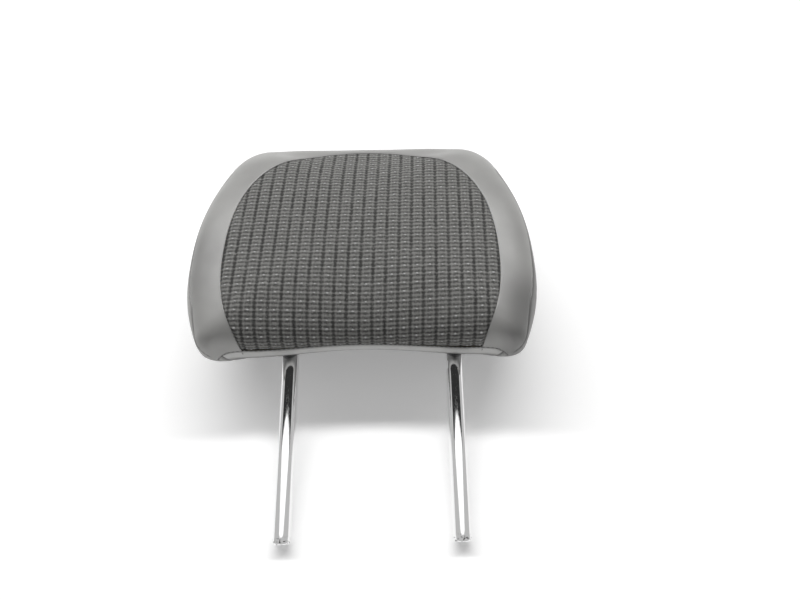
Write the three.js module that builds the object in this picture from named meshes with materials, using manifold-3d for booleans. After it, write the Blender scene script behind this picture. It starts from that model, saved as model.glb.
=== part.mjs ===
// Car head restraint: a sewn vinyl and ribbed fabric cushion on a bent, plated steel tube.
// It lies on its back on a flat surface, with the tips of both posts touching that surface.
// Units are millimetres, +Z is up and the posts point towards -Y.
import * as THREE from 'three';
import { mergeVertices } from 'three/addons/utils/BufferGeometryUtils.js';
import Module from 'manifold-3d';

const wasm = await Module();
wasm.setup();

// Clearances
const seamGap = 0.3;
const fitGap = 0.3;
const foamGap = 0.5;

// How far a cutting solid runs past what it cuts
const cutReach = 30;
const cutOverrun = 1;

// Bent tube with its two posts
const postDiameter = 14;
const postWall = 2.5;
const postSpacing = 134;
const postExposed = 134;
const postTilt = THREE.MathUtils.degToRad(9);
const postShift = 6.26;
const bendRadius = 28;
const crossbarDepth = 124;
const tipRadius = 2;
const tipWall = 4;
const ventDiameter = 4;
const tubeSides = 20;
const bendSteps = 6;

// Notches on the right post, measured along it from its tip
const stopNotchStart = 131;
const stopNotchLength = 9;
const stopNotchRamp = 3;
const stopNotchDepth = 1.7;
const detentStart = 98;
const detentLength = 5.5;
const detentPitch = 22.5;
const detentCount = 2;
const detentDepth = 1;

// Cushion outline, seen from the front
const padWidth = 281;
const padLength = 200;
const padWidestY = 63;
const padCentreY = 102;
const lowerArch = 4.3;
const crownRise = 5.2;
const lowerFlatInset = 43;
const lowerCornerInset = 12.8;
const lowerCornerHeight = 3.5;
const lowerCornerAngle = THREE.MathUtils.degToRad(66);
const upperSideInset = 19.4;
const upperSideDrop = 33.6;
const upperSideAngle = THREE.MathUtils.degToRad(69);
const upperFlatInset = 52;
const outlineHandle = 0.38;
const outlineSteps = 5;
const outlineSearchSteps = 24;

// Cushion section
const faceHeight = 94.5;
const faceDish = 2.9;
const faceDishAt = 118;
const faceDishLimit = 1.1;
const sideRidge = 50.8;
const lipRidge = 58;
const topRidge = 53.3;
const backSag = 6;
const frontRoundSide = 5;
const frontRoundLip = 2.3;
const frontRoundTop = 2.24;
const backRoundSide = 2.6;
const backRoundLower = 1.8;
const backRoundTop = 2.2;
const frontRings = 10;
const backRings = 8;

// Cover
const coverThickness = 2.4;
const sideSeamHeight = 82;
const topSeamHeight = 73;
const topSeamLevel = 18;
const topSeamRun = 44;
const lipSeamHeight = 58.5;
const lipSeamHalf = 115.5;
const lipSeamCorner = 79;
const lipSeamFlare = 6;
const lipSeamRun = 34;
const closureY = 40;
const bottomPanelHalfTop = 112;
const bottomPanelHalfBase = 98;
const bottomPanelRise = 10;

// Woven insert
const insertHalfWidth = 108.2;
const insertWidestY = 64.8;
const insertTopY = 183.9;
const insertFootHalf = 93.1;
const insertShoulderHandle = 73.5;
const insertCrownHandle = 82.6;
const insertFootHandle = 16;
const insertFootTaper = 4;
const insertFootRun = 12;
const insertSideHandle = 34;
const insertSteps = 9;
const ribPitch = 9.75;
const ribDepth = 0.8;
const ribGrooveShare = 0.16;
const insertRows = 14;
const insertOverrun = 6;
const insertEdgeInset = 0.02;

// Plastic carrier that clamps the crossbar
const carrierStart = 50;
const carrierLength = 100;
const carrierMargin = 12;
const carrierTopInset = 8;
const carrierCorner = 14;
const carrierDepth = 13;
const carrierWall = 2.5;
const saddleThickness = 3;
const saddleOffsets = [30, 62];
const crossSaddleHalf = 26;
const bossDiameter = 9.5;
const bossHalfX = 38;
const bossRows = [16, 58];
const cornerSteps = 4;
const boreSides = 16;

// Carrier screws
const screwShank = 3.8;
const screwHead = 7.6;
const screwHeadHeight = 2.4;
const screwLength = 18;
const screwSlot = 1.2;
const screwChamfer = 0.5;
const screwPoint = 1;

// Post grommets in the bottom panel
const exitStep = 0.25;
const grommetWall = 1.5;
const grommetFlange = 2.5;
const grommetProud = 1.4;
const grommetDepth = 11;
const slitEntry = 10;

// Hooked closure strips inside the bottom rear edge
const stripLength = 130;
const stripThickness = 1.2;
const stripReach = 10;
const stripHook = 4.2;
const stripSink = 1.5;
const stripSteps = 14;

// Derived places
const tubeRadius = postDiameter / 2;
const crossbarY = postExposed + crossbarDepth;
const tipHeight = tubeRadius * Math.cos(postTilt) - tipRadius * Math.sin(postTilt);
const padHalf = padWidth / 2;
const lipY = postExposed;
const padCentre = new THREE.Vector2(0, lipY + padCentreY);
const tipReach = (tubeRadius - tipRadius) * Math.sin(postTilt);
const frameShift = -(lipY + padLength - tipReach) / 2;
const aboveFace = faceHeight + cutReach;

// Finishes
const finish = {
  chrome: new THREE.MeshStandardMaterial({ color: 0xc8c8c6, roughness: 0.12, metalness: 1 }),
  vinyl: new THREE.MeshStandardMaterial({ color: 0x9c9b98, roughness: 0.5, metalness: 0 }),
  backVinyl: new THREE.MeshStandardMaterial({ color: 0x93928f, roughness: 0.52, metalness: 0 }),
  fabric: new THREE.MeshStandardMaterial({ color: 0x5e5d5a, roughness: 0.95, metalness: 0 }),
  foam: new THREE.MeshStandardMaterial({ color: 0xd9cfae, roughness: 0.95, metalness: 0 }),
  carrier: new THREE.MeshStandardMaterial({ color: 0x2a2a2a, roughness: 0.6, metalness: 0 }),
  trim: new THREE.MeshStandardMaterial({ color: 0x3a3a3a, roughness: 0.55, metalness: 0 }),
  screw: new THREE.MeshStandardMaterial({ color: 0x8f9194, roughness: 0.35, metalness: 1 }),
};

// Closed mesh to solid and back
function solid(geometry) {
  const bare = geometry.clone();
  bare.deleteAttribute('normal');
  bare.deleteAttribute('uv');
  const welded = mergeVertices(bare, 1e-5);
  return new wasm.Manifold(new wasm.Mesh({
    numProp: 3,
    vertProperties: new Float32Array(welded.attributes.position.array),
    triVerts: new Uint32Array(welded.index.array),
  }));
}

function toGeometry(manifold) {
  const mesh = manifold.getMesh();
  const geometry = new THREE.BufferGeometry();
  const stride = mesh.numProp;
  const count = mesh.vertProperties.length / stride;
  const positions = new Float32Array(count * 3);
  for (let i = 0; i < count; i += 1) {
    positions[3 * i] = mesh.vertProperties[stride * i];
    positions[3 * i + 1] = mesh.vertProperties[stride * i + 1];
    positions[3 * i + 2] = mesh.vertProperties[stride * i + 2];
  }
  geometry.setAttribute('position', new THREE.BufferAttribute(positions, 3));
  geometry.setIndex(new THREE.BufferAttribute(new Uint32Array(mesh.triVerts), 1));
  geometry.computeVertexNormals();
  return geometry;
}

function part(name, manifold, material) {
  const mesh = new THREE.Mesh(toGeometry(manifold), material);
  mesh.name = name;
  return mesh;
}

// Places a geometry and returns it as a solid
function placed(geometry, x, y, z, rotation = new THREE.Euler()) {
  const matrix = new THREE.Matrix4().makeRotationFromEuler(rotation);
  matrix.setPosition(x, y, z);
  return solid(geometry.clone().applyMatrix4(matrix));
}

function box(x0, x1, y0, y1, z0, z1) {
  const geometry = new THREE.BoxGeometry(x1 - x0, y1 - y0, z1 - z0);
  return placed(geometry, (x0 + x1) / 2, (y0 + y1) / 2, (z0 + z1) / 2);
}

// Cylinders between two places along Y, in the plane z = 0, and between two heights
function rodAlongY(radius, x, y0, y1) {
  const geometry = new THREE.CylinderGeometry(radius, radius, y1 - y0, tubeSides);
  return placed(geometry, x, (y0 + y1) / 2, 0);
}

const upright = new THREE.Euler(Math.PI / 2, 0, 0);

function rodAlongZ(radius, x, y, z0, z1) {
  const geometry = new THREE.CylinderGeometry(radius, radius, z1 - z0, boreSides);
  return placed(geometry, x, y, (z0 + z1) / 2, upright);
}

function joinAll(solids) {
  return solids.reduce((sum, next) => sum.add(next));
}

// Armature frame: the posts run along +Y in it and lie in its plane z = 0
const armatureMatrix = new THREE.Matrix4().makeRotationX(postTilt);
armatureMatrix.setPosition(postShift, 0, tipHeight);

function inArmature(manifold) {
  return solid(toGeometry(manifold).applyMatrix4(armatureMatrix));
}

// Cushion outline as a closed loop of points, from curves that meet smoothly
function outlineKnots() {
  const top = lipY + padLength - crownRise;
  const knot = (x, y, dx, dy) => ({ at: new THREE.Vector2(x, y), dir: new THREE.Vector2(dx, dy) });
  return [
    knot(0, lipY + lowerArch, 1, 0),
    knot(padHalf - lowerFlatInset, lipY, 1, 0),
    knot(padHalf - lowerCornerInset, lipY + lowerCornerHeight,
      Math.cos(lowerCornerAngle), Math.sin(lowerCornerAngle)),
    knot(padHalf, lipY + padWidestY, 0, 1),
    knot(padHalf - upperSideInset, lipY + padLength - upperSideDrop,
      -Math.cos(upperSideAngle), Math.sin(upperSideAngle)),
    knot(padHalf - upperFlatInset, top, -1, 0),
    knot(0, top + crownRise, -1, 0),
  ];
}

function halfOutline(steps) {
  const knots = outlineKnots();
  const points = [];
  for (let i = 0; i + 1 < knots.length; i += 1) {
    const [from, to] = [knots[i], knots[i + 1]];
    const reach = from.at.distanceTo(to.at) * outlineHandle;
    const curve = new THREE.CubicBezierCurve(
      from.at,
      from.at.clone().addScaledVector(from.dir, reach),
      to.at.clone().addScaledVector(to.dir, -reach),
      to.at,
    );
    points.push(...curve.getPoints(steps).slice(0, steps));
  }
  points.push(knots[knots.length - 1].at.clone());
  return points;
}

function closedOutline(steps) {
  const right = halfOutline(steps);
  const left = right.slice(1, -1).reverse().map((p) => new THREE.Vector2(-p.x, p.y));
  return right.concat(left);
}

const fineOutline = closedOutline(outlineSearchSteps).map((p) => {
  const offset = p.clone().sub(padCentre);
  return { angle: offset.angle(), radius: offset.length() };
}).sort((a, b) => a.angle - b.angle);

// Distance from the middle of the cushion to its outline, in one direction
function outlineRadius(angle) {
  const turn = 2 * Math.PI;
  const wanted = ((angle % turn) + turn) % turn;
  const next = fineOutline.findIndex((s) => s.angle > wanted);
  const b = fineOutline[next < 0 ? 0 : next];
  const a = fineOutline[next <= 0 ? fineOutline.length - 1 : next - 1];
  const span = (((b.angle - a.angle) % turn) + turn) % turn;
  const share = ((((wanted - a.angle) % turn) + turn) % turn) / span;
  return THREE.MathUtils.lerp(a.radius, b.radius, share);
}

// How the section changes round the outline
function sectionAt(offset) {
  const edge = offset.clone().setLength(outlineRadius(offset.angle()));
  const along = edge.y / (edge.y < 0 ? padCentreY : padLength - padCentreY);
  const across = edge.x / padHalf;
  const side = across ** 2 / (across ** 2 + along ** 2);
  const low = edge.y < 0;
  const lowRise = (lipRidge - sideRidge) * Math.abs(along) ** 3;
  const topRise = (topRidge - sideRidge) * along ** 2;
  const lerp = THREE.MathUtils.lerp;
  return {
    share: Math.min(offset.length() / edge.length(), 1),
    ridge: sideRidge + (low ? lowRise : topRise),
    front: lerp(low ? frontRoundLip : frontRoundTop, frontRoundSide, side),
    back: lerp(low ? backRoundLower : backRoundTop, backRoundSide, side),
  };
}

function roundOff(share, power) {
  return (1 - share ** power) ** (1 / power);
}

function frontZ(x, y) {
  const section = sectionAt(new THREE.Vector2(x, y).sub(padCentre));
  const face = faceHeight + faceDish * Math.min(Math.abs(x) / faceDishAt, faceDishLimit) ** 2;
  return section.ridge + (face - section.ridge) * roundOff(section.share, section.front);
}

function backZ(x, y) {
  const section = sectionAt(new THREE.Vector2(x, y).sub(padCentre));
  const depth = (section.ridge + backSag) * roundOff(section.share, section.back);
  return Math.max(0, section.ridge - depth);
}

// Closed body from a front pole, rings out to the ridge and rings in to a back pole
function padGeometry() {
  const loop = closedOutline(outlineSteps);
  const positions = [padCentre.x, padCentre.y, frontZ(padCentre.x, padCentre.y + 0.01)];
  const ring = (share, height) => {
    for (const p of loop) {
      const q = p.clone().sub(padCentre).multiplyScalar(share).add(padCentre);
      positions.push(q.x, q.y, height(q.x, q.y));
    }
  };
  for (let i = 1; i <= frontRings; i += 1) {
    ring(Math.sin((Math.PI / 2) * (i / frontRings)), frontZ);
  }
  for (let i = backRings - 1; i >= 1; i -= 1) {
    ring(Math.sin((Math.PI / 2) * (i / backRings)), backZ);
  }
  positions.push(padCentre.x, padCentre.y, 0);
  const n = loop.length;
  const rings = frontRings + backRings - 1;
  const last = 1 + rings * n;
  const index = [];
  for (let j = 0; j < n; j += 1) {
    const k = (j + 1) % n;
    index.push(0, 1 + j, 1 + k);
    for (let i = 0; i + 1 < rings; i += 1) {
      const [a, b] = [1 + i * n + j, 1 + i * n + k];
      const [c, d] = [a + n, b + n];
      index.push(a, c, b, b, c, d);
    }
    index.push(last, last - n + k, last - n + j);
  }
  const geometry = new THREE.BufferGeometry();
  geometry.setAttribute('position', new THREE.Float32BufferAttribute(positions, 3));
  geometry.setIndex(index);
  geometry.computeVertexNormals();
  return geometry;
}

const padSurface = padGeometry();

// The cushion's surface moved out along its normals, or in for a negative distance
function padSolid(distance) {
  const geometry = padSurface.clone();
  const position = geometry.attributes.position;
  const normal = geometry.attributes.normal;
  for (let i = 0; i < position.count; i += 1) {
    position.setXYZ(
      i,
      position.getX(i) + normal.getX(i) * distance,
      position.getY(i) + normal.getY(i) * distance,
      position.getZ(i) + normal.getZ(i) * distance,
    );
  }
  return solid(geometry);
}

function extruded(points, depth, steps = 1) {
  return new THREE.ExtrudeGeometry(new THREE.Shape(points), { depth, steps, bevelEnabled: false });
}

// Prism of an outline in the XY plane, between two heights
function prismXY(points, z0, z1) {
  const geometry = extruded(points, z1 - z0);
  geometry.translate(0, 0, z0);
  return solid(geometry);
}

// Prism of an outline in the YZ plane, between two places along X
function prismYZ(points, x0, x1) {
  const geometry = extruded(points, x1 - x0);
  geometry.applyMatrix4(new THREE.Matrix4().set(
    0, 0, 1, x0,
    1, 0, 0, 0,
    0, 1, 0, 0,
    0, 0, 0, 1,
  ));
  return solid(geometry);
}

// Prism of an outline in the XZ plane, between two places along Y
function prismXZ(points, y0, y1) {
  const geometry = extruded(points, y1 - y0);
  geometry.applyMatrix4(new THREE.Matrix4().set(
    1, 0, 0, 0,
    0, 0, -1, y1,
    0, 1, 0, 0,
    0, 0, 0, 1,
  ));
  return solid(geometry);
}

// Outline of the woven insert, grown by a margin
function insertOutline(margin) {
  const half = insertHalfWidth + margin;
  const foot = insertFootHalf + margin;
  const side = new THREE.CubicBezierCurve(
    new THREE.Vector2(foot, lipY),
    new THREE.Vector2(foot + insertFootHandle / 2, lipY + insertFootHandle),
    new THREE.Vector2(half, lipY + insertWidestY - insertSideHandle),
    new THREE.Vector2(half, lipY + insertWidestY),
  );
  const shoulder = new THREE.CubicBezierCurve(
    new THREE.Vector2(half, lipY + insertWidestY),
    new THREE.Vector2(half, lipY + insertWidestY + insertShoulderHandle),
    new THREE.Vector2(insertCrownHandle, lipY + insertTopY + margin),
    new THREE.Vector2(0, lipY + insertTopY + margin),
  );
  const right = [
    new THREE.Vector2(foot - insertFootTaper, lipY - insertFootRun),
    ...side.getPoints(insertSteps).slice(0, insertSteps),
    ...shoulder.getPoints(insertSteps),
  ];
  const left = right.slice(0, -1).reverse().map((p) => new THREE.Vector2(-p.x, p.y));
  return right.concat(left);
}

// Space above the seam between the front cover and the back cover, lowered by a margin
function aboveFrontSeam(margin) {
  const high = sideSeamHeight - margin;
  const top = topSeamHeight - margin;
  const near = lipY - cutReach;
  const crown = lipY + padLength;
  const sides = prismYZ([
    new THREE.Vector2(near, high),
    new THREE.Vector2(crown - topSeamRun, high),
    new THREE.Vector2(crown - topSeamLevel, top),
    new THREE.Vector2(crown + cutReach, top),
    new THREE.Vector2(crown + cutReach, aboveFace),
    new THREE.Vector2(near, aboveFace),
  ], -padHalf - cutReach, padHalf + cutReach);
  const half = lipSeamHalf + margin;
  const flared = half + lipSeamFlare;
  const lip = prismXZ([
    new THREE.Vector2(-half, lipSeamHeight - margin),
    new THREE.Vector2(half, lipSeamHeight - margin),
    new THREE.Vector2(flared, lipSeamCorner),
    new THREE.Vector2(flared, aboveFace),
    new THREE.Vector2(-flared, aboveFace),
    new THREE.Vector2(-flared, lipSeamCorner),
  ], near, lipY + lipSeamRun);
  return sides.add(lip);
}

// Space of the bottom panel, grown by a margin
function bottomPanelSpace(margin) {
  const top = bottomPanelHalfTop + margin;
  const base = bottomPanelHalfBase + margin;
  return prismXZ([
    new THREE.Vector2(-base, -bottomPanelRise),
    new THREE.Vector2(base, -bottomPanelRise),
    new THREE.Vector2(top, lipSeamHeight + bottomPanelRise),
    new THREE.Vector2(-top, lipSeamHeight + bottomPanelRise),
  ], lipY - cutReach, lipY + closureY + margin);
}

// Place where a post passes through the underside of the cushion, along the post
function postExit(x) {
  const far = lipY + padLength / 2;
  for (let reach = lipY; reach < far; reach += exitStep) {
    const at = new THREE.Vector3(x, reach, 0).applyMatrix4(armatureMatrix);
    if (at.y > lipY + lowerArch && backZ(at.x, at.y) <= at.z) {
      return reach;
    }
  }
  return far;
}

const postPlaces = [
  { name: 'left', x: -postSpacing / 2 },
  { name: 'right', x: postSpacing / 2 },
];

// Middle line of the bent tube: places with their direction of travel, all in the plane z = 0
function tubeStations(start) {
  const bendY = crossbarY - bendRadius;
  const bendX = postSpacing / 2 - bendRadius;
  const half = [{ x: -postSpacing / 2, y: start, turn: 0 }];
  for (let i = 0; i <= bendSteps; i += 1) {
    const turn = (Math.PI / 2) * (i / bendSteps);
    half.push({
      x: -bendX - bendRadius * Math.cos(turn),
      y: bendY + bendRadius * Math.sin(turn),
      turn,
    });
  }
  const mirrored = half.map((s) => ({ x: -s.x, y: s.y, turn: Math.PI - s.turn })).reverse();
  return half.concat(mirrored);
}

// Closed body of round sections along the stations, each with its own radius
function sweptSections(stations) {
  const positions = [];
  for (const s of stations) {
    for (let k = 0; k < tubeSides; k += 1) {
      const angle = (2 * Math.PI * k) / tubeSides;
      const side = s.radius * Math.cos(angle);
      const [x, y] = [s.x - side * Math.cos(s.turn), s.y + side * Math.sin(s.turn)];
      positions.push(x, y, s.radius * Math.sin(angle));
    }
  }
  const index = [];
  for (let i = 0; i + 1 < stations.length; i += 1) {
    for (let k = 0; k < tubeSides; k += 1) {
      const next = (k + 1) % tubeSides;
      const [a, b] = [i * tubeSides + k, i * tubeSides + next];
      const [c, d] = [a + tubeSides, b + tubeSides];
      index.push(a, b, c, b, d, c);
    }
  }
  const last = (stations.length - 1) * tubeSides;
  for (let k = 1; k + 1 < tubeSides; k += 1) {
    index.push(0, k + 1, k, last, last + k, last + k + 1);
  }
  const geometry = new THREE.BufferGeometry();
  geometry.setAttribute('position', new THREE.Float32BufferAttribute(positions, 3));
  geometry.setIndex(index);
  return solid(geometry);
}

function sweptTube(radius, start) {
  return sweptSections(tubeStations(start).map((s) => ({ ...s, radius })));
}

// Outer body of the tube, with a small radius round the edge of each closed tip
function tubeBody() {
  const ease = tipRadius * (1 - Math.SQRT1_2);
  const rounding = [
    { y: 0, radius: tubeRadius - tipRadius },
    { y: ease, radius: tubeRadius - ease },
  ];
  const middle = tubeStations(tipRadius).map((s) => ({ ...s, radius: tubeRadius }));
  const first = rounding.map((r) => ({ ...r, x: -postSpacing / 2, turn: 0 }));
  const last = rounding.map((r) => ({ ...r, x: postSpacing / 2, turn: Math.PI })).reverse();
  return sweptSections([...first, ...middle, ...last]);
}

function notchCutters() {
  const x = postSpacing / 2;
  const inner = x - tubeRadius;
  const end = stopNotchStart + stopNotchLength;
  const past = tubeRadius + cutOverrun;
  const stop = prismXY([
    new THREE.Vector2(inner - stopNotchDepth, stopNotchStart),
    new THREE.Vector2(inner + stopNotchDepth, stopNotchStart),
    new THREE.Vector2(inner + stopNotchDepth, end - stopNotchRamp),
    new THREE.Vector2(inner - stopNotchDepth, end + stopNotchRamp),
  ], -past, past);
  const outer = x + tubeRadius;
  const cutters = [stop];
  for (let i = 0; i < detentCount; i += 1) {
    const y = detentStart + i * detentPitch;
    cutters.push(box(outer - detentDepth, outer + cutOverrun, y, y + detentLength, -past, past));
  }
  return cutters;
}

function postTube() {
  let tube = tubeBody().subtract(sweptTube(tubeRadius - postWall, tipWall));
  tube = tube.subtract(rodAlongZ(ventDiameter / 2, 0, crossbarY, -tubeRadius - cutOverrun, 0));
  for (const cutter of notchCutters()) {
    tube = tube.subtract(cutter);
  }
  return tube;
}

// Outline of the carrier, grown by a margin
function carrierOutline(margin) {
  const y0 = lipY + carrierStart - margin;
  const y1 = lipY + carrierStart + carrierLength + margin;
  const low = postSpacing / 2 + tubeRadius + carrierMargin + margin;
  const high = low - carrierTopInset;
  const r = carrierCorner;
  const shape = new THREE.Shape();
  shape.moveTo(low - r, y0);
  shape.quadraticCurveTo(low, y0, low, y0 + r);
  shape.lineTo(high, y1 - r);
  shape.quadraticCurveTo(high, y1, high - r, y1);
  shape.lineTo(-high + r, y1);
  shape.quadraticCurveTo(-high, y1, -high, y1 - r);
  shape.lineTo(-low, y0 + r);
  shape.quadraticCurveTo(-low, y0, -low + r, y0);
  shape.closePath();
  return shape.getPoints(cornerSteps);
}

const bossPlaces = bossRows.flatMap((row) => {
  const y = lipY + carrierStart + row;
  return [{ x: -bossHalfX, y }, { x: bossHalfX, y }];
});

// One half of the carrier: a tray with saddles for the tube and bosses for the screws
function carrierHalf(side) {
  const span = (a, b) => (side > 0 ? [a, b] : [-b, -a]);
  const face = seamGap / 2;
  const half = saddleThickness / 2;
  const skin = carrierDepth - carrierWall / 2;
  const tray = prismXY(carrierOutline(0), ...span(face, carrierDepth));
  const hollow = prismXY(carrierOutline(-carrierWall), ...span(0, carrierDepth - carrierWall));
  const inside = prismXY(carrierOutline(-carrierWall / 2), ...span(face, skin));
  const y0 = lipY + carrierStart;
  const y1 = y0 + carrierLength;
  const ribs = saddleOffsets.map((offset) => {
    const y = y0 + offset;
    return box(-padHalf, padHalf, y - half, y + half, ...span(face, carrierDepth));
  });
  for (const x of [-crossSaddleHalf, crossSaddleHalf]) {
    ribs.push(box(x - half, x + half, y0 + saddleOffsets[1], y1, ...span(face, carrierDepth)));
  }
  for (const boss of bossPlaces) {
    ribs.push(rodAlongZ(bossDiameter / 2, boss.x, boss.y, ...span(face, skin)));
  }
  const shell = tray.subtract(hollow).add(joinAll(ribs).intersect(inside));
  return shell.subtract(sweptTube(tubeRadius + fitGap, lipY));
}

function carrierFront() {
  let half = carrierHalf(1);
  for (const boss of bossPlaces) {
    const pilotEnd = carrierDepth - carrierWall;
    half = half.subtract(rodAlongZ(screwShank / 2 + fitGap, boss.x, boss.y, 0, pilotEnd));
  }
  return half;
}

function carrierRear() {
  let half = carrierHalf(-1);
  const seat = -carrierDepth + screwHeadHeight + fitGap;
  const below = -carrierDepth - cutOverrun;
  for (const boss of bossPlaces) {
    half = half.subtract(rodAlongZ(screwShank / 2 + fitGap, boss.x, boss.y, below, 0));
    half = half.subtract(rodAlongZ(screwHead / 2 + fitGap, boss.x, boss.y, below, seat));
  }
  return half;
}

// Slotted screw, its head down in the rear half and its point up
function carrierScrew(boss) {
  const profile = [
    new THREE.Vector2(0, 0),
    new THREE.Vector2(screwHead / 2 - screwChamfer, 0),
    new THREE.Vector2(screwHead / 2, screwChamfer),
    new THREE.Vector2(screwHead / 2, screwHeadHeight),
    new THREE.Vector2(screwShank / 2, screwHeadHeight),
    new THREE.Vector2(screwShank / 2, screwLength - screwPoint),
    new THREE.Vector2(screwShank / 4, screwLength),
    new THREE.Vector2(0, screwLength),
  ];
  const body = placed(new THREE.LatheGeometry(profile, boreSides), boss.x, boss.y, -carrierDepth, upright);
  const slot = box(
    boss.x - screwHead, boss.x + screwHead,
    boss.y - screwSlot / 2, boss.y + screwSlot / 2,
    -carrierDepth - cutOverrun, -carrierDepth + screwSlot,
  );
  return body.subtract(slot);
}

const lining = padSolid(-coverThickness);
const seated = padSolid(-coverThickness - fitGap);
const bun = padSolid(-coverThickness - foamGap);
const cover = padSolid(0).subtract(lining);

// Height of the closure strips' flanges above the surface that the cushion rests on
const stripBase = backZ(0, lipY + closureY) + coverThickness + fitGap;

// Bottom rear closure: two hooked strips that follow the underside between the posts
function followUnderside(geometry) {
  const position = geometry.attributes.position;
  const middle = backZ(0, lipY + closureY);
  for (let i = 0; i < position.count; i += 1) {
    const [x, y] = [position.getX(i), position.getY(i)];
    position.setZ(i, position.getZ(i) + backZ(x, y) - middle);
  }
  return solid(geometry);
}

// Prism along X of a section in Y and Z, cut into short steps that can follow the underside
function stripPrism(points, length) {
  const geometry = extruded(points.map(([y, z]) => new THREE.Vector2(y, z)), length, stripSteps);
  geometry.applyMatrix4(new THREE.Matrix4().set(
    0, 0, 1, -length / 2,
    1, 0, 0, lipY + closureY,
    0, 1, 0, stripBase,
    0, 0, 0, 1,
  ));
  return followUnderside(geometry);
}

// Flat flange with an upright and a hook that turns back towards the flange
function frontStrip() {
  const t = stripThickness;
  const h = stripHook;
  return stripPrism([
    [-stripReach, -stripSink], [0, -stripSink], [0, h], [-h, h],
    [-h, h - t], [-t, h - t], [-t, t], [-stripReach, t],
  ], stripLength).intersect(seated);
}

// Its mate stands behind it and hooks over the first one's upright
function backStrip() {
  const t = stripThickness;
  const g = fitGap;
  const top = stripHook + g + t;
  const lip = -stripHook - g;
  return stripPrism([
    [g, -stripSink], [stripReach, -stripSink], [stripReach, t], [g + t, t], [g + t, top],
    [lip - t, top], [lip - t, stripHook - t], [lip, stripHook - t], [lip, top - t], [g, top - t],
  ], stripLength).intersect(seated);
}

function stripChannel() {
  const reach = stripReach + foamGap;
  const top = stripHook + fitGap + stripThickness + foamGap;
  const drop = stripBase + backSag;
  const length = stripLength + 2 * foamGap;
  return stripPrism([[-reach, -drop], [reach, -drop], [reach, top], [-reach, top]], length);
}

// Woven insert: a ribbed slab that follows the front, trimmed to the insert outline
function ribStations(half) {
  const count = Math.floor(half / ribPitch + 0.5);
  const stations = [];
  for (let i = -count; i <= count; i += 1) {
    const groove = i * ribPitch;
    stations.push({ x: groove - ribPitch * ribGrooveShare, lift: 0 });
    stations.push({ x: groove, lift: -ribDepth });
    stations.push({ x: groove + ribPitch * ribGrooveShare, lift: 0 });
  }
  return stations;
}

function lipEdgeY(x) {
  const points = halfOutline(outlineSearchSteps);
  const ax = Math.abs(x);
  const next = points.findIndex((p) => p.x >= ax);
  const [a, b] = [points[Math.max(next - 1, 0)], points[Math.max(next, 1)]];
  return THREE.MathUtils.lerp(a.y, b.y, (ax - a.x) / (b.x - a.x));
}

function ribbedSlab() {
  const stations = ribStations(insertHalfWidth + ribPitch / 2);
  const columns = stations.length;
  const rows = insertRows;
  const far = lipY + insertTopY + insertOverrun;
  const positions = [];
  const put = (height) => {
    for (const station of stations) {
      const near = lipEdgeY(station.x) + insertEdgeInset;
      for (let j = 0; j <= rows; j += 1) {
        const y = far - (far - near) * (0.5 - 0.5 * Math.cos(Math.PI * (j / rows)));
        positions.push(station.x, y, height(station, y));
      }
    }
  };
  put((station, y) => frontZ(station.x, y) + station.lift);
  put(() => sideRidge);
  const index = [];
  const at = (layer, i, j) => layer * columns * (rows + 1) + i * (rows + 1) + j;
  const quad = (a, b, c, d) => index.push(a, b, c, a, c, d);
  for (let i = 0; i + 1 < columns; i += 1) {
    for (let j = 0; j < rows; j += 1) {
      quad(at(0, i, j), at(0, i, j + 1), at(0, i + 1, j + 1), at(0, i + 1, j));
      quad(at(1, i, j), at(1, i + 1, j), at(1, i + 1, j + 1), at(1, i, j + 1));
    }
    quad(at(0, i, 0), at(0, i + 1, 0), at(1, i + 1, 0), at(1, i, 0));
    quad(at(0, i + 1, rows), at(0, i, rows), at(1, i, rows), at(1, i + 1, rows));
  }
  const lastColumn = columns - 1;
  for (let j = 0; j < rows; j += 1) {
    quad(at(0, 0, j + 1), at(0, 0, j), at(1, 0, j), at(1, 0, j + 1));
    quad(at(0, lastColumn, j), at(0, lastColumn, j + 1), at(1, lastColumn, j + 1), at(1, lastColumn, j));
  }
  const geometry = new THREE.BufferGeometry();
  geometry.setAttribute('position', new THREE.Float32BufferAttribute(positions, 3));
  geometry.setIndex(index);
  return solid(geometry);
}

function fabricInsert() {
  const trimmed = ribbedSlab().intersect(prismXY(insertOutline(0), sideRidge, aboveFace));
  return trimmed.intersect(aboveFrontSeam(0)).subtract(lining);
}

function frontSurround() {
  const hole = prismXY(insertOutline(seamGap), sideRidge, aboveFace);
  return cover.intersect(aboveFrontSeam(0)).subtract(hole);
}

function backPanel() {
  return cover.subtract(aboveFrontSeam(seamGap)).subtract(bottomPanelSpace(seamGap));
}

function bottomPanel() {
  let panel = cover.subtract(aboveFrontSeam(seamGap)).intersect(bottomPanelSpace(0));
  for (const post of postPlaces) {
    const exit = postExit(post.x);
    const holeRadius = tubeRadius + 2 * fitGap + grommetWall;
    const hole = rodAlongY(holeRadius, post.x, exit - cutReach, exit + cutReach);
    panel = panel.subtract(inArmature(hole));
  }
  return panel;
}

function grommet(post) {
  const exit = postExit(post.x);
  const sleeveRadius = tubeRadius + fitGap + grommetWall;
  const [near, far] = [exit - cutReach, exit + cutReach];
  const proud = padSolid(grommetProud);
  const skin = proud.subtract(padSolid(fitGap));
  const flange = inArmature(rodAlongY(sleeveRadius + grommetFlange, post.x, near, far)).intersect(skin);
  const sleeve = inArmature(rodAlongY(sleeveRadius, post.x, near, exit + grommetDepth)).intersect(proud);
  const bore = inArmature(rodAlongY(tubeRadius + fitGap, post.x, near - cutOverrun, far + cutOverrun));
  return flange.add(sleeve).subtract(bore);
}

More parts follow.
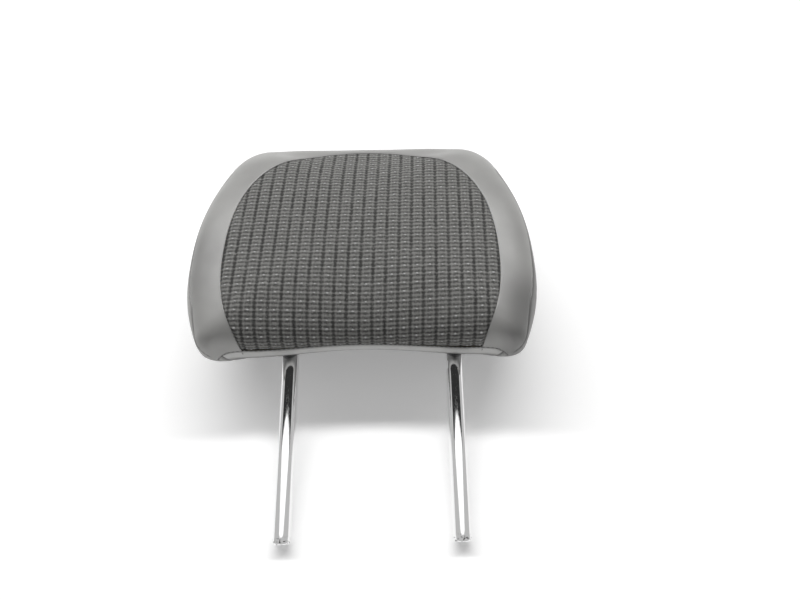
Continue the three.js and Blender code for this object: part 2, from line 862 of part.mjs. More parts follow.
function foamBun() {
  const depth = carrierDepth + foamGap;
  const pocket = inArmature(prismXY(carrierOutline(foamGap), -depth, depth));
  const slitHalf = tubeRadius + fitGap + grommetWall + foamGap;
  const slit = inArmature(box(
    -postSpacing / 2 - slitHalf, postSpacing / 2 + slitHalf,
    lipY - cutReach, lipY + carrierStart + slitEntry,
    -slitHalf, slitHalf,
  ));
  return bun.subtract(pocket).subtract(slit).subtract(stripChannel());
}

// Assembly
const pad = new THREE.Group();
pad.add(part('foam_bun', foamBun(), finish.foam));
pad.add(part('fabric_insert', fabricInsert(), finish.fabric));
pad.add(part('front_surround', frontSurround(), finish.vinyl));
pad.add(part('back_panel', backPanel(), finish.backVinyl));
pad.add(part('bottom_panel', bottomPanel(), finish.vinyl));
for (const post of postPlaces) {
  pad.add(part(`post_grommet_${post.name}`, grommet(post), finish.trim));
}
pad.add(part('closure_strip_front', frontStrip(), finish.trim));
pad.add(part('closure_strip_back', backStrip(), finish.trim));

const armature = new THREE.Group();
armature.rotation.x = postTilt;
armature.position.set(postShift, 0, tipHeight);
armature.add(part('post_tube', postTube(), finish.chrome));
armature.add(part('carrier_front', carrierFront(), finish.carrier));
armature.add(part('carrier_rear', carrierRear(), finish.carrier));
bossPlaces.forEach((boss, i) => {
  armature.add(part(`carrier_screw_${i + 1}`, carrierScrew(boss), finish.screw));
});

const group = new THREE.Group();
group.name = 'headrest';
group.add(pad, armature);
group.position.y = frameShift;
export default group;
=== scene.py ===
"""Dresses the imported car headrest: sewn vinyl and ribbed fabric cushion on a bright bent tube."""

import logging
import math
from contextlib import contextmanager
from dataclasses import dataclass
from enum import Enum
from typing import Callable, Iterator, Sequence

import bmesh
import bpy
import numpy as np
from mathutils import Matrix, Quaternion, Vector
from mathutils.bvhtree import BVHTree


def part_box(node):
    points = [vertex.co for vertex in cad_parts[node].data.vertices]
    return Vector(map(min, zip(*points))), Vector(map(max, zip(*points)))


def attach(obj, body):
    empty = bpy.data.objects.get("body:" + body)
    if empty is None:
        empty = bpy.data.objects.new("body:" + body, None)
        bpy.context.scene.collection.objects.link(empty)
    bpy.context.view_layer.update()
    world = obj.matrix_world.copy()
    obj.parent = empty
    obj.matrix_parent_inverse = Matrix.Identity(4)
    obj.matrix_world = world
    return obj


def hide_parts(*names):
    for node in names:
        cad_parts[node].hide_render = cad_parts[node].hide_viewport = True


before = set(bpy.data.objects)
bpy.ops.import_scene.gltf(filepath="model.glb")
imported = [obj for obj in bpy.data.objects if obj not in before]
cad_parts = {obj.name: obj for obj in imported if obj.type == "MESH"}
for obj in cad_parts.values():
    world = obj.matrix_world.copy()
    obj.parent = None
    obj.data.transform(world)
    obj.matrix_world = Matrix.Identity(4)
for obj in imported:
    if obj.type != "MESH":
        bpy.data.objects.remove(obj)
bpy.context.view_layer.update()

log = logging.getLogger("headrest")

Socket = bpy.types.NodeSocket
Input = float | tuple | Socket

BODY = "root"
HALF_TURN = math.pi
QUARTER_TURN = math.pi / 2
FULL_TURN = 2 * math.pi
MIRROR = np.array([-1.0, 1.0])
MERGE_DISTANCE = 2e-5
SEWN_SHARP = 1.2


class Slot(Enum):
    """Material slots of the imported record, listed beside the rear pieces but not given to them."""

    CHROME = "plated_steel"
    VINYL = "vinyl"
    BACK_VINYL = "vinyl_back"
    FABRIC = "woven_fabric"
    TRIM = "trim_plastic"


def ease(value: np.ndarray) -> np.ndarray:
    """Return a smooth step from 0 to 1 of a value that runs from 0 to 1."""
    clipped = np.clip(value, 0.0, 1.0)
    return clipped * clipped * (3 - 2 * clipped)


def fraction(value: np.ndarray) -> np.ndarray:
    """Return the part of a value after its whole number."""
    return value - np.floor(value)


def bezier(a: Sequence, b: Sequence, c: Sequence, d: Sequence, steps: int) -> np.ndarray:
    """Return points on a cubic curve.

    Args:
        a: Start point.
        b: Start handle.
        c: End handle.
        d: End point.
        steps: Number of equal steps of the curve's parameter.

    Returns:
        An array of steps + 1 points.
    """
    t = np.linspace(0, 1, steps + 1)[:, None]
    a, b, c, d = (np.asarray(p, float) for p in (a, b, c, d))
    return (1 - t) ** 3 * a + 3 * (1 - t) ** 2 * t * b + 3 * (1 - t) * t ** 2 * c + t ** 3 * d


def travelled(points: np.ndarray) -> np.ndarray:
    """Return the distance gone along each row of points, from 0 at the row's start."""
    steps = np.linalg.norm(np.diff(points, axis=-2), axis=-1)
    return np.concatenate([np.zeros(steps.shape[:-1] + (1,)), np.cumsum(steps, axis=-1)], axis=-1)


def sampled(wanted: np.ndarray, rising: np.ndarray, points: np.ndarray) -> np.ndarray:
    """Return points of a line at wanted values of a coordinate that rises along it."""
    return np.stack([np.interp(wanted, rising, points[:, k]) for k in range(3)], axis=-1)


def crossing(places: np.ndarray, values: np.ndarray) -> float:
    """Return the place, between two of those given, at which values first fall below zero.

    Args:
        places: Rising places.
        values: Value at each place, above zero at first.

    Returns:
        The place, worked out between its two neighbours.
    """
    first = int(np.argmax(values < 0))
    a, b = values[first - 1], values[first]
    return float(places[first - 1] + (places[first] - places[first - 1]) * a / (a - b))


def polar_table(loop: np.ndarray) -> tuple[np.ndarray, np.ndarray]:
    """Return the directions and distances of an outline's points, seen from the origin.

    Args:
        loop: Rows of x and y.

    Returns:
        Rising directions, and the distance in each.
    """
    angles = np.arctan2(loop[:, 1], loop[:, 0]) % FULL_TURN
    order = np.argsort(angles)
    return angles[order], np.linalg.norm(loop, axis=1)[order]


def polar_reach(angle: np.ndarray, table: tuple) -> np.ndarray:
    """Return how far an outline lies from the origin in a direction."""
    return np.interp(angle % FULL_TURN, *table, period=FULL_TURN)


def add_node(tree: bpy.types.NodeTree, kind: str, inputs: dict | None, settings: dict) -> bpy.types.Node:
    """Add a node to a tree.

    Args:
        tree: Tree of a material, of the world or of Geometry Nodes.
        kind: Node type.
        inputs: Socket name or index to a value, or to an output socket that feeds it.
        settings: Node properties.

    Returns:
        The new node.
    """
    node = tree.nodes.new(kind)
    for name, value in settings.items():
        setattr(node, name, value)
    for name, value in (inputs or {}).items():
        if isinstance(value, Socket):
            tree.links.new(value, node.inputs[name])
        else:
            node.inputs[name].default_value = value
    return node


class Graph:
    """A short way to write a material's or the world's node tree."""

    def __init__(self, tree: bpy.types.NodeTree) -> None:
        """Start with an empty tree."""
        self.tree = tree
        tree.nodes.clear()

    def add(self, kind: str, inputs: dict | None = None, **settings) -> bpy.types.Node:
        """Add a node, with its type given without the ShaderNode prefix."""
        return add_node(self.tree, "ShaderNode" + kind, inputs, settings)

    def place(self) -> Socket:
        """Return the object coordinates."""
        return self.add("TexCoord").outputs["Object"]

    def crease(self) -> Socket:
        """Return how deep in a seam the surface lies."""
        return self.add("Attribute", attribute_name="crease").outputs["Fac"]

    def math(self, operation: str, a: Input, b: Input = 0.0, clamp: bool = False) -> Socket:
        """Return the result of a Math node on two numbers or sockets."""
        return self.add("Math", {0: a, 1: b}, operation=operation, use_clamp=clamp).outputs[0]

    def plus(self, a: Input, b: Input) -> Socket:
        """Return a sum."""
        return self.math("ADD", a, b)

    def times(self, a: Input, b: Input) -> Socket:
        """Return a product."""
        return self.math("MULTIPLY", a, b)

    def off(self, value: Input, middle: Input) -> Socket:
        """Return how far a value is from a middle."""
        return self.math("ABSOLUTE", self.math("SUBTRACT", value, middle))

    def blend(self, factor: Input, a: Input, b: Input) -> Socket:
        """Return a colour mix of a and b by a factor."""
        return self.add("Mix", {0: factor, 6: a, 7: b}, data_type="RGBA").outputs[2]

    def span(self, value: Input, low: float, high: float,
             to_low: float = 0.0, to_high: float = 1.0) -> Socket:
        """Return a value mapped smoothly from one range to another."""
        inputs = {"Value": value, "From Min": low, "From Max": high, "To Min": to_low, "To Max": to_high}
        return self.add("MapRange", inputs, interpolation_type="SMOOTHSTEP").outputs[0]

    def noise(self, vector: Socket, scale: float, detail: float = 3.0, roughness: float = 0.5) -> Socket:
        """Return the value of a Noise texture."""
        inputs = {"Vector": vector, "Scale": scale, "Detail": detail, "Roughness": roughness}
        return self.add("TexNoise", inputs).outputs[0]

    def bump(self, height: Socket, strength: Input, distance: float, normal: Socket | None = None) -> Socket:
        """Return a Bump node's normal.

        Args:
            height: Pattern of heights.
            strength: Share of the pattern that shows.
            distance: Height of the pattern, in metres.
            normal: Normal of another pattern, added to this one.

        Returns:
            The normal.
        """
        inputs = {"Height": height, "Strength": strength, "Distance": distance}
        if normal is not None:
            inputs["Normal"] = normal
        return self.add("Bump", inputs).outputs[0]

    def surface(self, shader: bpy.types.Node) -> None:
        """Join a shader to the material's surface."""
        self.add("OutputMaterial", {0: shader.outputs[0]})


def new_material(name: str) -> tuple[bpy.types.Material, Graph]:
    """Return an empty node material and its graph.

    Args:
        name: Name of the material.

    Returns:
        The material, and the graph of its nodes.
    """
    material = bpy.data.materials.new(name)
    material.use_nodes = True
    return material, Graph(material.node_tree)


def grey(level: float) -> tuple:
    """Return a neutral colour."""
    return (level, level, level, 1.0)


class Finish:
    """A material with one Principled shader. Each kind gives its name and look."""

    name: str

    def look(self, g: Graph, place: Socket) -> dict:
        """Return the shader's inputs, in each kind of finish."""
        raise NotImplementedError

    def material(self) -> bpy.types.Material:
        """Build the material.

        Returns:
            The material.
        """
        material, g = new_material(self.name)
        g.surface(g.add("BsdfPrincipled", self.look(g, g.place())))
        return material


@dataclass(frozen=True)
class VinylFinish(Finish):
    """Soft grey grained vinyl, with painted shade in its seams, at its outer sides near the lip and below a
    level.
    """

    name: str
    colour: tuple = (0.312, 0.309, 0.30, 1.0)
    cloud_shade: float = 0.9
    seam_shade: float = 0.52
    seam_share: float = 0.75
    painted_shade_level: float = 0.03
    grain_scale: float = 1100.0
    fine_scale: float = 2600.0
    grain_depth: float = 0.00012
    wave_depth: float = 0.0006
    roughness: float = 0.42
    specular: float = 0.75
    lip_y: float = 0.0
    # Where the painted shade starts, where it is full and, if given, its least and its most
    painted_shade_outside: tuple = (0.100, 0.120)
    painted_shade_right: tuple = (0.066, 0.026, 0.0, 0.46)
    painted_shade_left: tuple = (0.105, 0.070)
    painted_shade_left_foot: tuple = (0.018, 0.050, 0.0, 0.32)
    shaded_z: float = -1.0
    shaded_run: float = 0.01
    shaded_share: float = 0.85

    def shade(self, share: float) -> tuple:
        """Return the colour at a share of its brightness."""
        return tuple(c * share for c in self.colour[:3]) + (1.0,)

    def look(self, g: Graph, place: Socket) -> dict:
        """Return the shader's inputs.

        Args:
            g: Graph of the material.
            place: Object coordinates.

        Returns:
            Socket name to a value, or to an output socket.
        """
        cells = g.add("TexVoronoi", {"Vector": place, "Scale": self.grain_scale}, feature="F1")
        tone = g.blend(g.span(g.noise(place, 22.0), 0.35, 0.65), self.colour, self.shade(self.cloud_shade))
        # Painted shade in the seams
        tone = g.blend(g.times(g.crease(), self.seam_share), tone, self.shade(self.seam_shade))
        # Painted shade: darker at the outer sides near the lip, and below a level
        tone = g.blend(self.painted_shading(g, place), tone, grey(self.painted_shade_level))
        rough = g.span(g.noise(place, 60.0), 0.3, 0.7, self.roughness - 0.04, self.roughness + 0.05)
        grain = g.plus(cells.outputs["Distance"], g.times(g.noise(place, self.fine_scale, 2.0), 0.35))
        normal = g.bump(g.noise(place, 45.0), 0.25, self.wave_depth, g.bump(grain, 0.35, self.grain_depth))
        inputs = {"Base Color": tone, "Roughness": rough, "Normal": normal}
        return inputs | {"Specular IOR Level": self.specular}

    def painted_shading(self, g: Graph, place: Socket) -> Socket:
        """Return how much painted shade darkens the vinyl at its outer sides near the lip, and below a
        level.

        Args:
            g: Graph of the material.
            place: Object coordinates.

        Returns:
            A factor from 0 to 1.
        """
        axes = g.add("SeparateXYZ", {0: place}).outputs
        along = g.math("SUBTRACT", axes["Y"], self.lip_y)
        outer = g.span(g.math("ABSOLUTE", axes["X"]), *self.painted_shade_outside)
        right = g.span(along, *self.painted_shade_right)
        left = g.times(g.span(along, *self.painted_shade_left), g.span(along, *self.painted_shade_left_foot))
        side = g.span(axes["X"], -0.02, 0.02)
        painted_shade_mix = g.plus(g.times(side, right), g.times(g.math("SUBTRACT", 1.0, side), left))
        # Painted shade below a level, on the underside
        under = g.span(axes["Z"], self.shaded_z, self.shaded_z - self.shaded_run, 0.0, self.shaded_share)
        return g.math("MAXIMUM", g.times(outer, painted_shade_mix), under)


@dataclass(frozen=True)
class WeaveFinish(Finish):
    """Dark ribbed weave: columns between grooves with painted shade, bands of painted light and shade mixed
    with mottle, painted highlight lines, fine yarns and lint.
    """

    name: str = "ribbed_weave"
    dark: float = 0.042
    trough: float = 0.102
    crest: float = 0.262
    shine: float = 0.3406
    lint: float = 0.42
    yarns: float = 11.0
    yarn_depth: float = 0.0003

    def look(self, g: Graph, place: Socket) -> dict:
        """Return the shader's inputs, from the panel's own cell coordinates.

        Args:
            g: Graph of the material.
            place: Object coordinates.

        Returns:
            Socket name to a value, or to an output socket.
        """
        cell = g.add("UVMap", uv_map="cell").outputs["UV"]
        u, v, _ = g.add("SeparateXYZ", {0: cell}).outputs
        jitter = g.times(g.math("SUBTRACT", g.noise(place, 420.0), 0.5), 0.3)
        across = g.math("FRACT", g.plus(u, g.times(jitter, 0.6)))
        along = g.plus(v, jitter)
        from_middle = g.off(across, 0.5)
        # Painted shade in the rows' channels and painted light on their crests, mixed with random mottle
        wave = g.math("COSINE", g.times(along, 2 * FULL_TURN))
        painted_shade_mix = g.plus(g.times(wave, 0.5), g.times(g.noise(place, 620.0), 1.5))
        tone = g.blend(g.span(painted_shade_mix, 0.2, 1.3), self.tint(self.trough), self.tint(self.crest))
        threads = g.math("SINE", g.times(along, self.yarns * FULL_TURN))
        patchy = g.span(g.noise(place, 55.0), 0.35, 0.62, 0.55, 0.9)
        specks = g.span(g.noise(place, 1150.0, 2.0, 0.6), 0.62, 0.72)
        # Yarn lines, painted shade in the grooves, painted highlight lines, lint and painted shade in the
        # seams
        for factor, level in (
            (g.span(threads, -0.4, 1.0, 0.0, 0.28), self.dark),
            (g.times(g.span(from_middle, 0.33, 0.45), patchy), self.dark),
            (g.span(g.off(from_middle, 0.27), 0.07, 0.02, 0.0, 0.22), self.shine),
            (g.span(g.off(g.math("FRACT", along), 0.5), 0.1, 0.03, 0.0, 0.3), self.shine),
            (g.times(specks, 0.5), self.lint),
            (g.times(g.crease(), 0.35), self.dark),
        ):
            tone = g.blend(factor, tone, self.tint(level))
        turns = g.math("SINE", g.times(u, self.yarns * FULL_TURN))
        rises = g.math("SINE", g.times(v, self.yarns * 0.75 * FULL_TURN))
        lift = g.plus(g.times(g.times(turns, rises), 0.5), g.noise(place, 1800.0, 2.0))
        soft = {"Roughness": 0.92, "Sheen Weight": 0.12, "Sheen Roughness": 0.5, "Specular IOR Level": 0.2}
        return {"Base Color": tone, "Normal": g.bump(lift, 0.7, self.yarn_depth)} | soft

    @staticmethod
    def tint(level: float) -> tuple:
        """Return a barely warm grey."""
        return (level * 1.01, level * 1.005, level * 0.965, 1.0)


@dataclass(frozen=True)
class MottledFinish(Finish):
    """Two near tones in soft spots, with a fine grain: thread, moulded plastic or plated steel."""

    name: str
    tones: tuple
    scale: float
    detail: float
    roughness: tuple
    grain: tuple = ()
    metallic: float = 0.0

    @classmethod
    def yarn(cls, name: str, level: float) -> bpy.types.Material:
        """Return thread or yarn of one colour with a fine twist."""
        tones = (grey(level * 0.75), grey(level * 1.1))
        return cls(name, tones, 2400.0, 2.0, (0.7, 0.7), (2400.0, 2.0, 0.5)).material()

    @classmethod
    def moulded(cls, name: str, level: float) -> bpy.types.Material:
        """Return matt moulded plastic with a fine spark-eroded grain."""
        tones = (grey(level), grey(level * 1.25))
        return cls(name, tones, 40.0, 2.0, (0.5, 0.63), (1900.0, 3.0, 0.35)).material()

    @classmethod
    def zinc(cls) -> bpy.types.Material:
        """Return plain plated screw steel."""
        tones = ((0.5, 0.51, 0.53, 1.0), (0.62, 0.62, 0.6, 1.0))
        return cls("zinc_plate", tones, 900.0, 3.0, (0.28, 0.42), metallic=1.0).material()

    def look(self, g: Graph, place: Socket) -> dict:
        """Return the shader's inputs.

        Args:
            g: Graph of the material.
            place: Object coordinates.

        Returns:
            Socket name to a value, or to an output socket.
        """
        cloud = g.noise(place, self.scale, self.detail)
        inputs = {
            "Base Color": g.blend(g.span(cloud, 0.3, 0.7), *self.tones),
            "Roughness": g.span(cloud, 0.3, 0.7, *self.roughness),
            "Metallic": self.metallic,
        }
        if self.grain:
            scale, detail, strength = self.grain
            inputs["Normal"] = g.bump(g.noise(place, scale, detail), strength, 0.0001)
        return inputs


@dataclass(frozen=True)
class ChromeFinish(Finish):
    """Bright plating with faint wiping marks, dull at the tips, with dark specks of painted reflection
    there.
    """

    tip_y: float
    name: str = "bright_plating"
    level: float = 0.86
    roughness: float = 0.045
    tip_full: float = 0.001
    tip_reach: float = 0.006
    pitting: float = 0.0002

    def look(self, g: Graph, place: Socket) -> dict:
        """Return the shader's inputs.

        Args:
            g: Graph of the material.
            place: Object coordinates.

        Returns:
            Socket name to a value, or to an output socket.
        """
        along = g.add("SeparateXYZ", {0: place}).outputs["Y"]
        stretched = g.add("Mapping", {"Vector": place, "Scale": (1400.0, 60.0, 1400.0)})
        specks = g.noise(place, 700.0, 4.0)
        near_tip = g.span(along, self.tip_y + self.tip_reach, self.tip_y + self.tip_full)
        # Painted reflection: dark specks near the tips, which also make the plating rougher there
        painted_tip_specks = g.times(near_tip, g.span(specks, 0.545, 0.63))
        marks = g.noise(stretched.outputs[0], 1.0)
        rough = g.span(marks, 0.35, 0.75, self.roughness, self.roughness + 0.05)
        return {
            "Base Color": g.blend(painted_tip_specks, grey(self.level), (0.05, 0.048, 0.045, 1.0)),
            "Roughness": g.plus(rough, g.times(painted_tip_specks, 0.35)),
            "Normal": g.bump(specks, g.times(near_tip, 0.25), self.pitting),
            "Metallic": 1.0,
        }


@dataclass(frozen=True)
class FoamFinish(Finish):
    """Moulded cream foam with open pores."""

    name: str = "moulded_foam"
    light: tuple = (0.66, 0.57, 0.38, 1.0)
    shaded: tuple = (0.56, 0.47, 0.3, 1.0)
    pore: tuple = (0.3, 0.24, 0.15, 1.0)
    pore_depth: float = 0.0005

    def look(self, g: Graph, place: Socket) -> dict:
        """Return the shader's inputs.

        Args:
            g: Graph of the material.
            place: Object coordinates.

        Returns:
            Socket name to a value, or to an output socket.
        """
        pores = g.add("TexVoronoi", {"Vector": place, "Scale": 700.0}).outputs["Distance"]
        tone = g.blend(g.span(g.noise(place, 30.0), 0.3, 0.7), self.light, self.shaded)
        tone = g.blend(g.span(pores, 0.25, 0.05, 0.0, 0.5), tone, self.pore)
        return {"Base Color": tone, "Roughness": 0.95, "Normal": g.bump(pores, 0.6, self.pore_depth)}


def mesh_object(
    name: str, points: np.ndarray, faces: Sequence = (), edges: Sequence = ()
) -> bpy.types.Object:
    """Make a mesh object in the row frame.

    Args:
        name: Piece name.
        points: Vertex positions in metres.
        faces: Vertex index tuples.
        edges: Vertex index pairs of edges without faces.

    Returns:
        The linked object.
    """
    mesh = bpy.data.meshes.new(name)
    mesh.from_pydata([tuple(p) for p in points], list(edges), [tuple(int(i) for i in f) for f in faces])
    mesh.update()
    piece = bpy.data.objects.new(name, mesh)
    bpy.context.scene.collection.objects.link(piece)
    return piece


def grid_faces(rows: int, columns: int, closed: bool = False, looped: bool = False) -> list[tuple]:
    """Return the quads of a grid of points stored row by row.

    Args:
        rows: Number of rows.
        columns: Number of points in a row.
        closed: Whether the last column joins the first.
        looped: Whether the last row joins the first.

    Returns:
        Vertex index tuples, in order round each quad.
    """
    faces = []
    for i in range(rows if looped else rows - 1):
        here, there = i * columns, (i + 1) % rows * columns
        for j in range(columns if closed else columns - 1):
            k = (j + 1) % columns
            faces.append((here + j, here + k, there + k, there + j))
    return faces


def tube_faces(rows: int, columns: int) -> list[tuple]:
    """Return the faces of a closed tube of rings: its quads and one face at each end.

    Args:
        rows: Number of rings.
        columns: Number of points in a ring.

    Returns:
        Vertex index tuples.
    """
    last = (rows - 1) * columns
    ends = [tuple(range(columns))[::-1], tuple(range(last, last + columns))]
    return grid_faces(rows, columns, closed=True) + ends


def grid_normals(points: np.ndarray, outward: Callable[[np.ndarray], np.ndarray]) -> np.ndarray:
    """Return unit normals of a grid of points.

    Args:
        points: Array of rows, columns and 3.
        outward: Function that gives a rough outward direction at each point.

    Returns:
        An array of the same shape.
    """
    down = np.gradient(points, axis=0)
    across = np.gradient(points, axis=1)
    normals = np.cross(down, across)
    length = np.linalg.norm(normals, axis=-1, keepdims=True)
    rough = outward(points)
    normals = np.where(length > 1e-12, normals / np.maximum(length, 1e-12), rough)
    facing = np.sum(normals * rough, axis=-1, keepdims=True)
    return np.where(facing < 0, -normals, normals)


@contextmanager
def edited(piece: bpy.types.Object) -> Iterator[bmesh.types.BMesh]:
    """Open a piece's mesh for editing, and write it back afterwards.

    Args:
        piece: Mesh object.

    Yields:
        The open mesh.
    """
    mesh = bmesh.new()
    mesh.from_mesh(piece.data)
    yield mesh
    mesh.to_mesh(piece.data)
    mesh.free()


def clean(piece: bpy.types.Object, distance: float = MERGE_DISTANCE) -> None:
    """Merge double points, drop faces without area and turn the faces outwards.

    Args:
        piece: Mesh object to clean.
        distance: Points nearer than this are merged.
    """
    with edited(piece) as mesh:
        bmesh.ops.remove_doubles(mesh, verts=mesh.verts, dist=distance)
        bmesh.ops.dissolve_degenerate(mesh, edges=mesh.edges, dist=distance)
        loose = [v for v in mesh.verts if not v.link_faces]
        bmesh.ops.delete(mesh, geom=loose, context="VERTS")
        bmesh.ops.recalc_face_normals(mesh, faces=mesh.faces)


def face_out(piece: bpy.types.Object, centre: Vector) -> None:
    """Turn an open shell round if most of its faces point at a centre.

    Args:
        piece: Mesh object.
        centre: A point inside the shell.
    """
    total = sum((f.center - centre).dot(f.normal) * f.area for f in piece.data.polygons)
    if total < 0:
        piece.data.flip_normals()


def baked(piece: bpy.types.Object) -> bpy.types.Object:
    """Replace a piece's mesh with its evaluated mesh and drop its modifiers.

    Args:
        piece: Object with modifiers.

    Returns:
        The same object, as a plain mesh.
    """
    bpy.context.view_layer.update()
    graph = bpy.context.evaluated_depsgraph_get()
    mesh = bpy.data.meshes.new_from_object(piece.evaluated_get(graph), depsgraph=graph)
    piece.modifiers.clear()
    piece.data = mesh
    return piece


def shaded(piece: bpy.types.Object, sharp_angle: float = 0.6) -> None:
    """Shade a piece smooth, except across edges sharper than an angle in radians."""
    piece.data.shade_smooth()
    piece.data.set_sharp_from_angle(angle=sharp_angle)


def walled(piece: bpy.types.Object, thickness: float) -> None:
    """Give an open shell a wall on its inner side.

    Args:
        piece: Mesh object whose faces point out.
        thickness: Wall in metres.
    """
    wall = piece.modifiers.new("wall", "SOLIDIFY")
    wall.thickness = thickness
    wall.offset = -1.0
    wall.use_even_offset = False
    baked(piece)


def dress(piece: bpy.types.Object, material: bpy.types.Material) -> None:
    """Give a piece its material and its body.

    Args:
        piece: Finished mesh object.
        material: Blender material.
    """
    piece.data.materials.clear()
    piece.data.materials.append(material)
    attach(piece, BODY)
    log.info("%s: %d faces", piece.name, len(piece.data.polygons))


def sew(piece: bpy.types.Object, middle: Vector, wall: float, material: bpy.types.Material,
        node: str, merge: float = MERGE_DISTANCE) -> None:
    """Clean, wall and dress one piece of the cover.

    Args:
        piece: Open shell.
        middle: A point inside the cushion.
        wall: Thickness of the cover.
        material: Blender material.
        node: Frame node that the piece stands for.
        merge: Points nearer than this are merged.
    """
    clean(piece, merge)
    face_out(piece, middle)
    walled(piece, wall)
    shaded(piece, SEWN_SHARP)
    dress(piece, material)
    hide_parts(node)


def read_values(items: Sequence, name: str, size: int) -> np.ndarray:
    """Return one property of all items, with a row of the given size for each.

    Args:
        items: Collection of a mesh, such as its vertices.
        name: Name of the property.
        size: How many numbers the property has.

    Returns:
        An array with a row for each item.
    """
    values = np.empty(len(items) * size, np.float32)
    items.foreach_get(name, values)
    return values.reshape(-1, size).astype(float)


def store_values(piece: bpy.types.Object, name: str, values: np.ndarray) -> None:
    """Store a number for each point of a piece as an attribute."""
    layer = piece.data.attributes.new(name, "FLOAT", "POINT")
    layer.data.foreach_set("value", values.ravel().astype(np.float32))


@dataclass
class CushionForm:
    """Outside of the cushion: the same rule as the part's own surface, in metres."""

    lip_y: float
    half_width: float = 0.1405
    length: float = 0.200
    widest_y: float = 0.063
    centre_y: float = 0.102
    lower_arch: float = 0.0043
    crown_rise: float = 0.0052
    lower_flat_inset: float = 0.043
    lower_corner_inset: float = 0.0128
    lower_corner_height: float = 0.0035
    lower_corner_angle: float = math.radians(66)
    upper_side_inset: float = 0.0194
    upper_side_drop: float = 0.0336
    upper_side_angle: float = math.radians(69)
    upper_flat_inset: float = 0.052
    handle: float = 0.38
    face_height: float = 0.0945
    face_dish: float = 0.0029
    face_dish_at: float = 0.118
    face_dish_limit: float = 1.1
    side_ridge: float = 0.0508
    lip_ridge: float = 0.058
    top_ridge: float = 0.0533
    back_sag: float = 0.006
    front_power_side: float = 5.0
    front_power_lip: float = 2.3
    front_power_top: float = 2.24
    back_power_side: float = 2.6
    back_power_lower: float = 1.8
    back_power_top: float = 2.2
    steps: int = 24
    meridian_steps: int = 260

    def __post_init__(self) -> None:
        """Work out the middle and the outline's distance in every direction."""
        self.centre = np.array([0.0, self.lip_y + self.centre_y])
        self.middle = Vector((*self.centre, self.side_ridge))
        self.half = self.half_outline()
        self.table = polar_table(np.vstack([self.half, self.half[1:-1][::-1] * MIRROR]) - self.centre)

    def half_outline(self) -> np.ndarray:
        """Return the right half of the outline, from the lip's middle to the crown's middle.

        Returns:
            Rows of x and y.
        """
        top = self.lip_y + self.length - self.crown_rise
        low, high = self.lower_corner_angle, self.upper_side_angle
        knots = [
            ((0.0, self.lip_y + self.lower_arch), (1.0, 0.0)),
            ((self.half_width - self.lower_flat_inset, self.lip_y), (1.0, 0.0)),
            (
                (self.half_width - self.lower_corner_inset, self.lip_y + self.lower_corner_height),
                (math.cos(low), math.sin(low)),
            ),
            ((self.half_width, self.lip_y + self.widest_y), (0.0, 1.0)),
            (
                (self.half_width - self.upper_side_inset, self.lip_y + self.length - self.upper_side_drop),
                (-math.cos(high), math.sin(high)),
            ),
            ((self.half_width - self.upper_flat_inset, top), (-1.0, 0.0)),
            ((0.0, top + self.crown_rise), (-1.0, 0.0)),
        ]
        points = []
        for (a, a_way), (b, b_way) in zip(knots, knots[1:]):
            a, b = np.array(a), np.array(b)
            reach = np.linalg.norm(b - a) * self.handle
            curve = bezier(a, a + reach * np.array(a_way), b - reach * np.array(b_way), b, self.steps)
            points.append(curve[:-1])
        points.append(np.array([knots[-1][0]]))
        return np.vstack(points)

    def radius(self, angle: np.ndarray) -> np.ndarray:
        """Return the outline's distance from the middle in a direction."""
        return polar_reach(angle, self.table)

    def section(self, x: np.ndarray, y: np.ndarray) -> dict:
        """Return how the section changes round the outline.

        Args:
            x: Places across.
            y: Places along.

        Returns:
            The share of the way to the outline, the ridge's height and both powers.
        """
        dx, dy = x - self.centre[0], y - self.centre[1]
        angle = np.arctan2(dy, dx)
        edge = self.radius(angle)
        edge_x, edge_y = edge * np.cos(angle), edge * np.sin(angle)
        low = edge_y < 0
        along = edge_y / np.where(low, self.centre_y, self.length - self.centre_y)
        across = edge_x / self.half_width
        side = across ** 2 / (across ** 2 + along ** 2)
        low_rise = (self.lip_ridge - self.side_ridge) * np.abs(along) ** 3
        top_rise = (self.top_ridge - self.side_ridge) * along ** 2
        front = np.where(low, self.front_power_lip, self.front_power_top)
        back = np.where(low, self.back_power_lower, self.back_power_top)
        return {
            "share": np.minimum(np.hypot(dx, dy) / edge, 1.0),
            "ridge": self.side_ridge + np.where(low, low_rise, top_rise),
            "front": front + (self.front_power_side - front) * side,
            "back": back + (self.back_power_side - back) * side,
        }

    def front_z(self, x: np.ndarray, y: np.ndarray) -> np.ndarray:
        """Return the height of the front surface.

        Args:
            x: Places across.
            y: Places along.

        Returns:
            Heights.
        """
        s = self.section(x, y)
        reach = np.minimum(np.abs(x) / self.face_dish_at, self.face_dish_limit)
        face = self.face_height + self.face_dish * reach ** 2
        return s["ridge"] + (face - s["ridge"]) * (1 - s["share"] ** s["front"]) ** (1 / s["front"])

    def back_z(self, x: np.ndarray, y: np.ndarray) -> np.ndarray:
        """Return the height of the back surface, which rests flat at zero.

        Args:
            x: Places across.
            y: Places along.

        Returns:
            Heights.
        """
        s = self.section(x, y)
        depth = (s["ridge"] + self.back_sag) * (1 - s["share"] ** s["back"]) ** (1 / s["back"])
        return np.maximum(0.0, s["ridge"] - depth)

